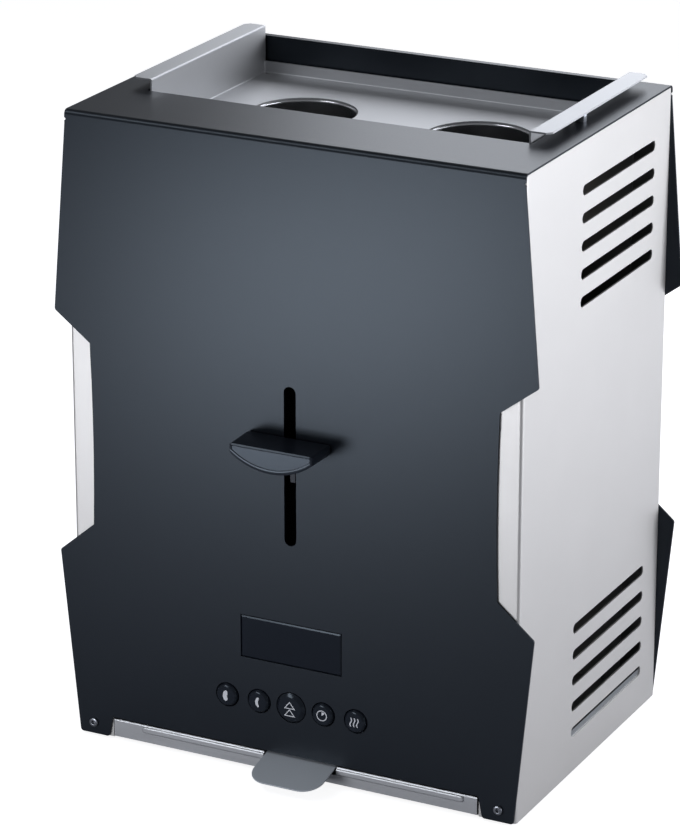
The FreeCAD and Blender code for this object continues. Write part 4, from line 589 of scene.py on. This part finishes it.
def knob_ring(half, inset, sill):
    """The knob's outline at one depth as (x, z) points, drawn in by inset, its foot raised by sill."""
    bow = (half**2 + knob_belly**2) / (2 * knob_belly)
    centre = knob_low.z + bow + sill
    wide, top, bow = half - inset, knob_high.z - inset, bow - inset
    radius = max(KNOB_CORNER - inset, KNOB_CORNER_LEAST)

    def under(x):
        return centre - math.sqrt(bow**2 - x**2)

    def corner(first, tip, last):
        for step in range(CORNER_STEPS + 1):
            t = step / CORNER_STEPS
            yield tuple(
                a * (1 - t) ** 2 + 2 * b * t * (1 - t) + c * t**2
                for a, b, c in zip(first, tip, last)
            )

    inner = wide - radius
    right = list(corner((inner, top), (wide, top), (wide, top - radius)))
    right += corner((wide, under(wide) + radius), (wide, under(wide)), (inner, under(inner)))
    right += [
        (x, under(x))
        for x in (inner * (1 - 2 * step / BELLY_STEPS) for step in range(1, BELLY_STEPS // 2))
    ]
    left = [(-x, z) for x, z in reversed(right)]
    return right + [(0, under(0))] + left


def lofted(name, rings, crease=35):
    """A closed form through rings of points that match one to one, with its two ends filled."""
    form = bmesh.new()
    rows = [[form.verts.new(Vector(point) * MM) for point in ring] for ring in rings]
    for first, second in zip(rows, rows[1:]):
        for step in range(len(first)):
            after = (step + 1) % len(first)
            form.faces.new((first[step], first[after], second[after], second[step]))
    form.faces.new(rows[0])
    form.faces.new(rows[-1])
    return solid(name, form, crease)


half_back, half_front = knob_high.x, knob_high.x - KNOB_TAPER
back, front = knob_high.y, knob_low.y
# Each row is one outline: its place along Y, its half width, its inset and how far its foot rises.
knob_depths = [
    (back, half_back, KNOB_BACK_ROUND, 0),
    (back - KNOB_BACK_ROUND * 0.3, half_back, KNOB_BACK_ROUND * 0.3, 0),
    (back - KNOB_BACK_ROUND, half_back, 0, 0),
    (front + KNOB_CHAMFER_DEPTH, half_front, 0, 0),
    (front, half_front, KNOB_CHAMFER, KNOB_SILL * 0.4),
    (front + KNOB_LIP_START, half_front, KNOB_RIM - KNOB_LIP, KNOB_SILL * 0.9),
    (front + KNOB_LIP_END, half_front, KNOB_RIM, KNOB_SILL),
    (front + KNOB_RECESS, half_front, KNOB_RIM + KNOB_DRAFT, KNOB_SILL),
]
knob = lofted(
    "lever_knob_moulding",
    [[(x, depth, z) for x, z in knob_ring(half, *inset)] for depth, half, *inset in knob_depths],
)
# The mould's fine texture leaves the body satin, and its polished insert leaves the panel smoother.
# The panel is also drawn a lighter grey than the black body, a painted sheen for the light it catches.
satin_plastic = skin(
    material("satin_moulded_plastic", "20242C", 0.3, sockets=cool), grain=0.5, depth=0.005
)
smooth_plastic_painted_sheen = skin(
    material("smooth_moulded_plastic_painted_sheen", "3A4048", 0.29, sockets=cool), grain=1.0, depth=0.001
)
knob.data.materials.append(satin_plastic)
knob.data.materials.append(smooth_plastic_painted_sheen)
# The panel is the one large face that looks forward; it takes the lighter grey of painted sheen.
for face in knob.data.polygons:
    if face.normal.y < -0.9 and face.area > half_front * KNOB_END * MM * MM:
        face.material_index = 1
settle(knob, "lift", "knob_plastic", "lever_knob")

# ------------------------------------------------------------------ display and its housing
# A dark tinted acrylic lens fills the window from behind, with a bevel round its raised middle.
# The housing behind it is black ABS and holds the display, its board and five switches.
LENS_STAND = 1.6
LENS_EDGE = 1.05
LENS_BEVEL = 0.7
LENS_FLANGE = 2.6
lens_low, lens_high = [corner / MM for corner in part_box("display_lens")]
lens_z = (lens_low.z + lens_high.z) / 2
lens_half = (lens_high.x, lens_high.z - lens_z)
lens_middle = [side - LENS_FLANGE for side in lens_half]


def oblong(half_wide, half_high, depth, middle_z):
    """The four corners of an upright rectangle at one depth."""
    return [
        (half_wide * x, depth, middle_z + half_high * z) for x, z in ((-1, -1), (1, -1), (1, 1), (-1, 1))
    ]


lens_rings = [
    oblong(*lens_half, lens_high.y, lens_z),
    oblong(*lens_half, lens_low.y, lens_z),
    oblong(*lens_middle, lens_low.y, lens_z),
    oblong(*lens_middle, lens_low.y - LENS_EDGE, lens_z),
    oblong(*(side - LENS_BEVEL for side in lens_middle), lens_low.y - LENS_STAND, lens_z),
]
lens = lofted("display_lens_cover", lens_rings, crease=20)
# Polished acrylic, tinted so dark that it mirrors more than it shows.
acrylic = skin(material("tinted_acrylic", "10141D", 0.14, sockets=cool), grain=4, depth=0.001)
lens.data.materials.append(acrylic)
settle(lens, "casing", "lens_plastic", "display_lens")
# Textured black ABS with an even, soft sheen.
housing_plastic = skin(material("moulded_housing_plastic", "1E1F21", 0.5), grain=0.7, depth=0.01)
dress(housing_plastic, "control_housing", "display_module")
eased("cord_gland", "moulded_cord_gland", housing_plastic, "casing", "housing_plastic", edge=0.3)
# Solder mask is a glossy green lacquer, lighter where it lies over copper.
board_green = skin(material("solder_mask", "1F5A35", 0.35), grain=1.5, depth=0.01, tone=0.3)
dress(board_green, "control_board", "power_board")
# The cases of small electric parts are dark grey and half matt.
part_plastic = skin(material("moulded_component_plastic", "2A2B2D", 0.45), grain=0.5, depth=0.005)
dress(part_plastic, "button_switches", "relay", "terminal_block", "board_spacers")
# Bright zinc plating is pale and fairly glossy.
zinc = skin(material("zinc_plated_steel", "B9BABC", 0.3, 1.0), grain=0.4, depth=0.002)
dress(zinc, "board_screws", "thermal_cutout")
# Yellow polyester tape is glossy, with fine upright lines where its turns lap.
tape = skin(material("wound_polyester_tape", "C9A63A", 0.3), grain=0.8, depth=0.01, run=(1, 1, 30))
dress(tape, "transformer")

# ------------------------------------------------------------------ buttons
# Five round caps of black satin ABS with a chamfered edge, each with its figure pad-printed in
# white: thick sausage, thin sausage, lift, timer and keep warm.
KEY_PITCH = 20.6
KEY_Z = 44.5
KEY_RADIUS = 7.0
LIFT_KEY_RADIUS = 9.0
KEY_FACE = -91.5
KEY_COLLAR_FRONT = -85.9
KEY_COLLAR_BACK = -84.4
KEY_TIP = -78.9
KEY_COLLAR = 1.3
KEY_FLAT = 0.78
KEY_CHAMFER = 0.65
KEY_CHAMFER_DEPTH = 0.48
KEY_FLANK = 1.9
KEY_STEM = 2.0
KEY_SEGMENTS = 40
PRINT_FRONT = KEY_FACE - 0.02
PRINT_BACK = KEY_FACE + 0.05
SAUSAGE_BOW = 3.7
SAUSAGE_THICK = 2.7
SAUSAGE_THIN = 1.7
CRESCENT_TURN = 52
CRESCENT_STEPS = 14
TRIANGLE_HALF = 3.6
TRIANGLE_HEIGHT = 4.5
TRIANGLE_STEP = 4.6
TRIANGLE_LINE = 0.5
SHARPEST_CORNER = 0.2
CLOCK_RADIUS = 3.3
CLOCK_LINE = 0.55
CLOCK_STEPS = 36
WEDGE_RADIUS = 2.3
WEDGE_TIP = 0.3
WEDGE_STEPS = 5
WAVE_PITCH = 2.1
WAVE_HALF = 2.7
WAVE_SWAY = 0.45
WAVE_LINE = 0.72
WAVE_STEPS = 16

# The caps are moulded glossier than the knob, and pad-printed ink is a half-matt white.
key_plastic = skin(material("satin_key_plastic", "161A22", 0.2, sockets=cool), grain=0.5, depth=0.003)
white_ink = skin(material("pad_printed_ink", "DCDEE3", 0.5), grain=0.3, depth=0.003, tone=0.02)


def arc(radius, start, stop, steps):
    """Points on an arc, its angles in degrees from the right, turning up."""
    for step in range(steps + 1):
        angle = math.radians(start + (stop - start) * step / steps)
        yield radius * math.cos(angle), radius * math.sin(angle)


def crescent(bow, thick):
    """A bent sausage: a thick arc about a centre on its right that thins to round ends."""
    outer, inner = [], []
    middle = bow * (1 + math.cos(math.radians(CRESCENT_TURN))) / 2
    for step in range(CRESCENT_STEPS + 1):
        share = 2 * step / CRESCENT_STEPS - 1
        angle = math.radians(180 + CRESCENT_TURN * share)
        half = thick / 2 * (1 - share**4) ** 0.5
        for side, line in ((half, outer), (-half, inner)):
            line.append((middle + (bow + side) * math.cos(angle), (bow + side) * math.sin(angle)))
    return [(outer, inner, False)]


def hoop(points, line):
    """A closed line of the given width round a convex figure."""
    count = len(points)
    inner = []
    for index in range(count):
        before, here, after = (Vector(points[(index + k) % count]) for k in (-1, 0, 1))
        first, second = (here - before).normalized(), (after - here).normalized()
        bisector = (second - first).normalized()
        sine = max(abs(first.cross(bisector)), SHARPEST_CORNER)
        inner.append(tuple(here + bisector * (line / sine)))
    return (points, inner, True)


def lift_figure():
    """Two triangles, one over the other."""
    triangle = [(-TRIANGLE_HALF, 0.0), (TRIANGLE_HALF, 0.0), (0.0, TRIANGLE_HEIGHT)]
    return [hoop([(x, z + rise) for x, z in triangle], TRIANGLE_LINE) for rise in (-TRIANGLE_STEP, 0.0)]


def timer_figure():
    """A clock face with a wedge from twelve to two."""
    outer, inner = (
        list(arc(radius, 0, 360, CLOCK_STEPS))[:-1]
        for radius in (CLOCK_RADIUS, CLOCK_RADIUS - CLOCK_LINE)
    )
    rim, tip = (list(arc(radius, 38, 92, WEDGE_STEPS)) for radius in (WEDGE_RADIUS, WEDGE_TIP))
    return [(outer, inner, True), (rim, tip, False)]


def warm_figure():
    """Three rising waves of warm air."""
    waves = []
    for middle in (-WAVE_PITCH, 0.0, WAVE_PITCH):
        left, right = [], []
        for step in range(WAVE_STEPS + 1):
            height = WAVE_HALF * (2 * step / WAVE_STEPS - 1)
            sway = -WAVE_SWAY * math.sin(math.tau * step / WAVE_STEPS)
            left.append((middle + sway - WAVE_LINE / 2, height))
            right.append((middle + sway + WAVE_LINE / 2, height))
        waves.append((left, right, False))
    return waves


def printed(name, bands, centre_x):
    """A figure as a thin layer of ink on a button's face."""
    form = bmesh.new()
    for one, other, closed in bands:
        rows = [
            [form.verts.new(Vector((centre_x + x, depth, KEY_Z + z)) * MM) for x, z in line]
            for depth, line in (
                (PRINT_FRONT, one), (PRINT_FRONT, other), (PRINT_BACK, other), (PRINT_BACK, one)
            )
        ]
        count = len(one)
        for first, second in zip(rows, rows[1:] + rows[:1]):
            for step in range(count if closed else count - 1):
                after = (step + 1) % count
                form.faces.new((first[step], first[after], second[after], second[step]))
        if not closed:
            form.faces.new([row[0] for row in rows])
            form.faces.new([row[-1] for row in rows])
    bmesh.ops.remove_doubles(form, verts=form.verts, dist=WELD)
    figure = solid(name, form)
    figure.data.materials.append(white_ink)
    return figure


KEYS = [
    ("thick_sausage", -2, KEY_RADIUS, crescent(SAUSAGE_BOW, SAUSAGE_THICK)),
    ("thin_sausage", -1, KEY_RADIUS, crescent(SAUSAGE_BOW, SAUSAGE_THIN)),
    ("lift", 0, LIFT_KEY_RADIUS, lift_figure()),
    ("timer", 1, KEY_RADIUS, timer_figure()),
    ("keep_warm", 2, KEY_RADIUS, warm_figure()),
]
for key, seat, radius, figure in KEYS:
    key_x = seat * KEY_PITCH
    flat = radius * KEY_FLAT
    profile = [
        (0, KEY_FACE),
        (flat, KEY_FACE),
        (flat + KEY_CHAMFER, KEY_FACE + KEY_CHAMFER_DEPTH),
        (radius, KEY_FACE + KEY_FLANK),
        (radius, KEY_COLLAR_FRONT),
        (radius + KEY_COLLAR, KEY_COLLAR_FRONT),
        (radius + KEY_COLLAR, KEY_COLLAR_BACK),
        (KEY_STEM, KEY_COLLAR_BACK),
        (KEY_STEM, KEY_TIP),
        (0, KEY_TIP),
    ]
    cap = turned(f"{key}_cap", profile, (key_x, 0, KEY_Z), axis=1, segments=KEY_SEGMENTS)
    cap.data.materials.append(key_plastic)
    settle(cap, f"{key}_key", "key_plastic", f"{key}_button")
    ink = printed(f"{key}_figure", figure, key_x)
    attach(ink, f"{key}_key")

# ------------------------------------------------------------------ drip tray
# A shallow stainless tray slides in under the base. A painted steel tab is spot-welded on
# its folded front lip, to pull it by; its light grey is partly painted sheen.
# It is brushed along its front, drawn coarser than it is, and wiping has left its gloss uneven.
brushed_tray_steel = skin(
    material("brushed_tray_steel", "C9CACC", 0.44, 1.0),
    grain=0.5,
    depth=0.003,
    swing=0.08,
    tone=0.12,
    run=(50, 1, 1),
)
eased("drip_tray", "folded_drip_tray", brushed_tray_steel, "drip_drawer", "tray_steel", edge=0.25)
# Satin paint over the steel, smooth and without a metal's mirror. Its light grey is partly painted
# sheen, for the light that the tab's upturned face catches.
tab_paint_painted_sheen = skin(material("grey_satin_paint_painted_sheen", "B5BBC1", 0.4), grain=0.8, depth=0.004)
eased("tray_tab", "painted_pull_tab", tab_paint_painted_sheen, "drip_drawer", "tab_steel", edge=0.25)
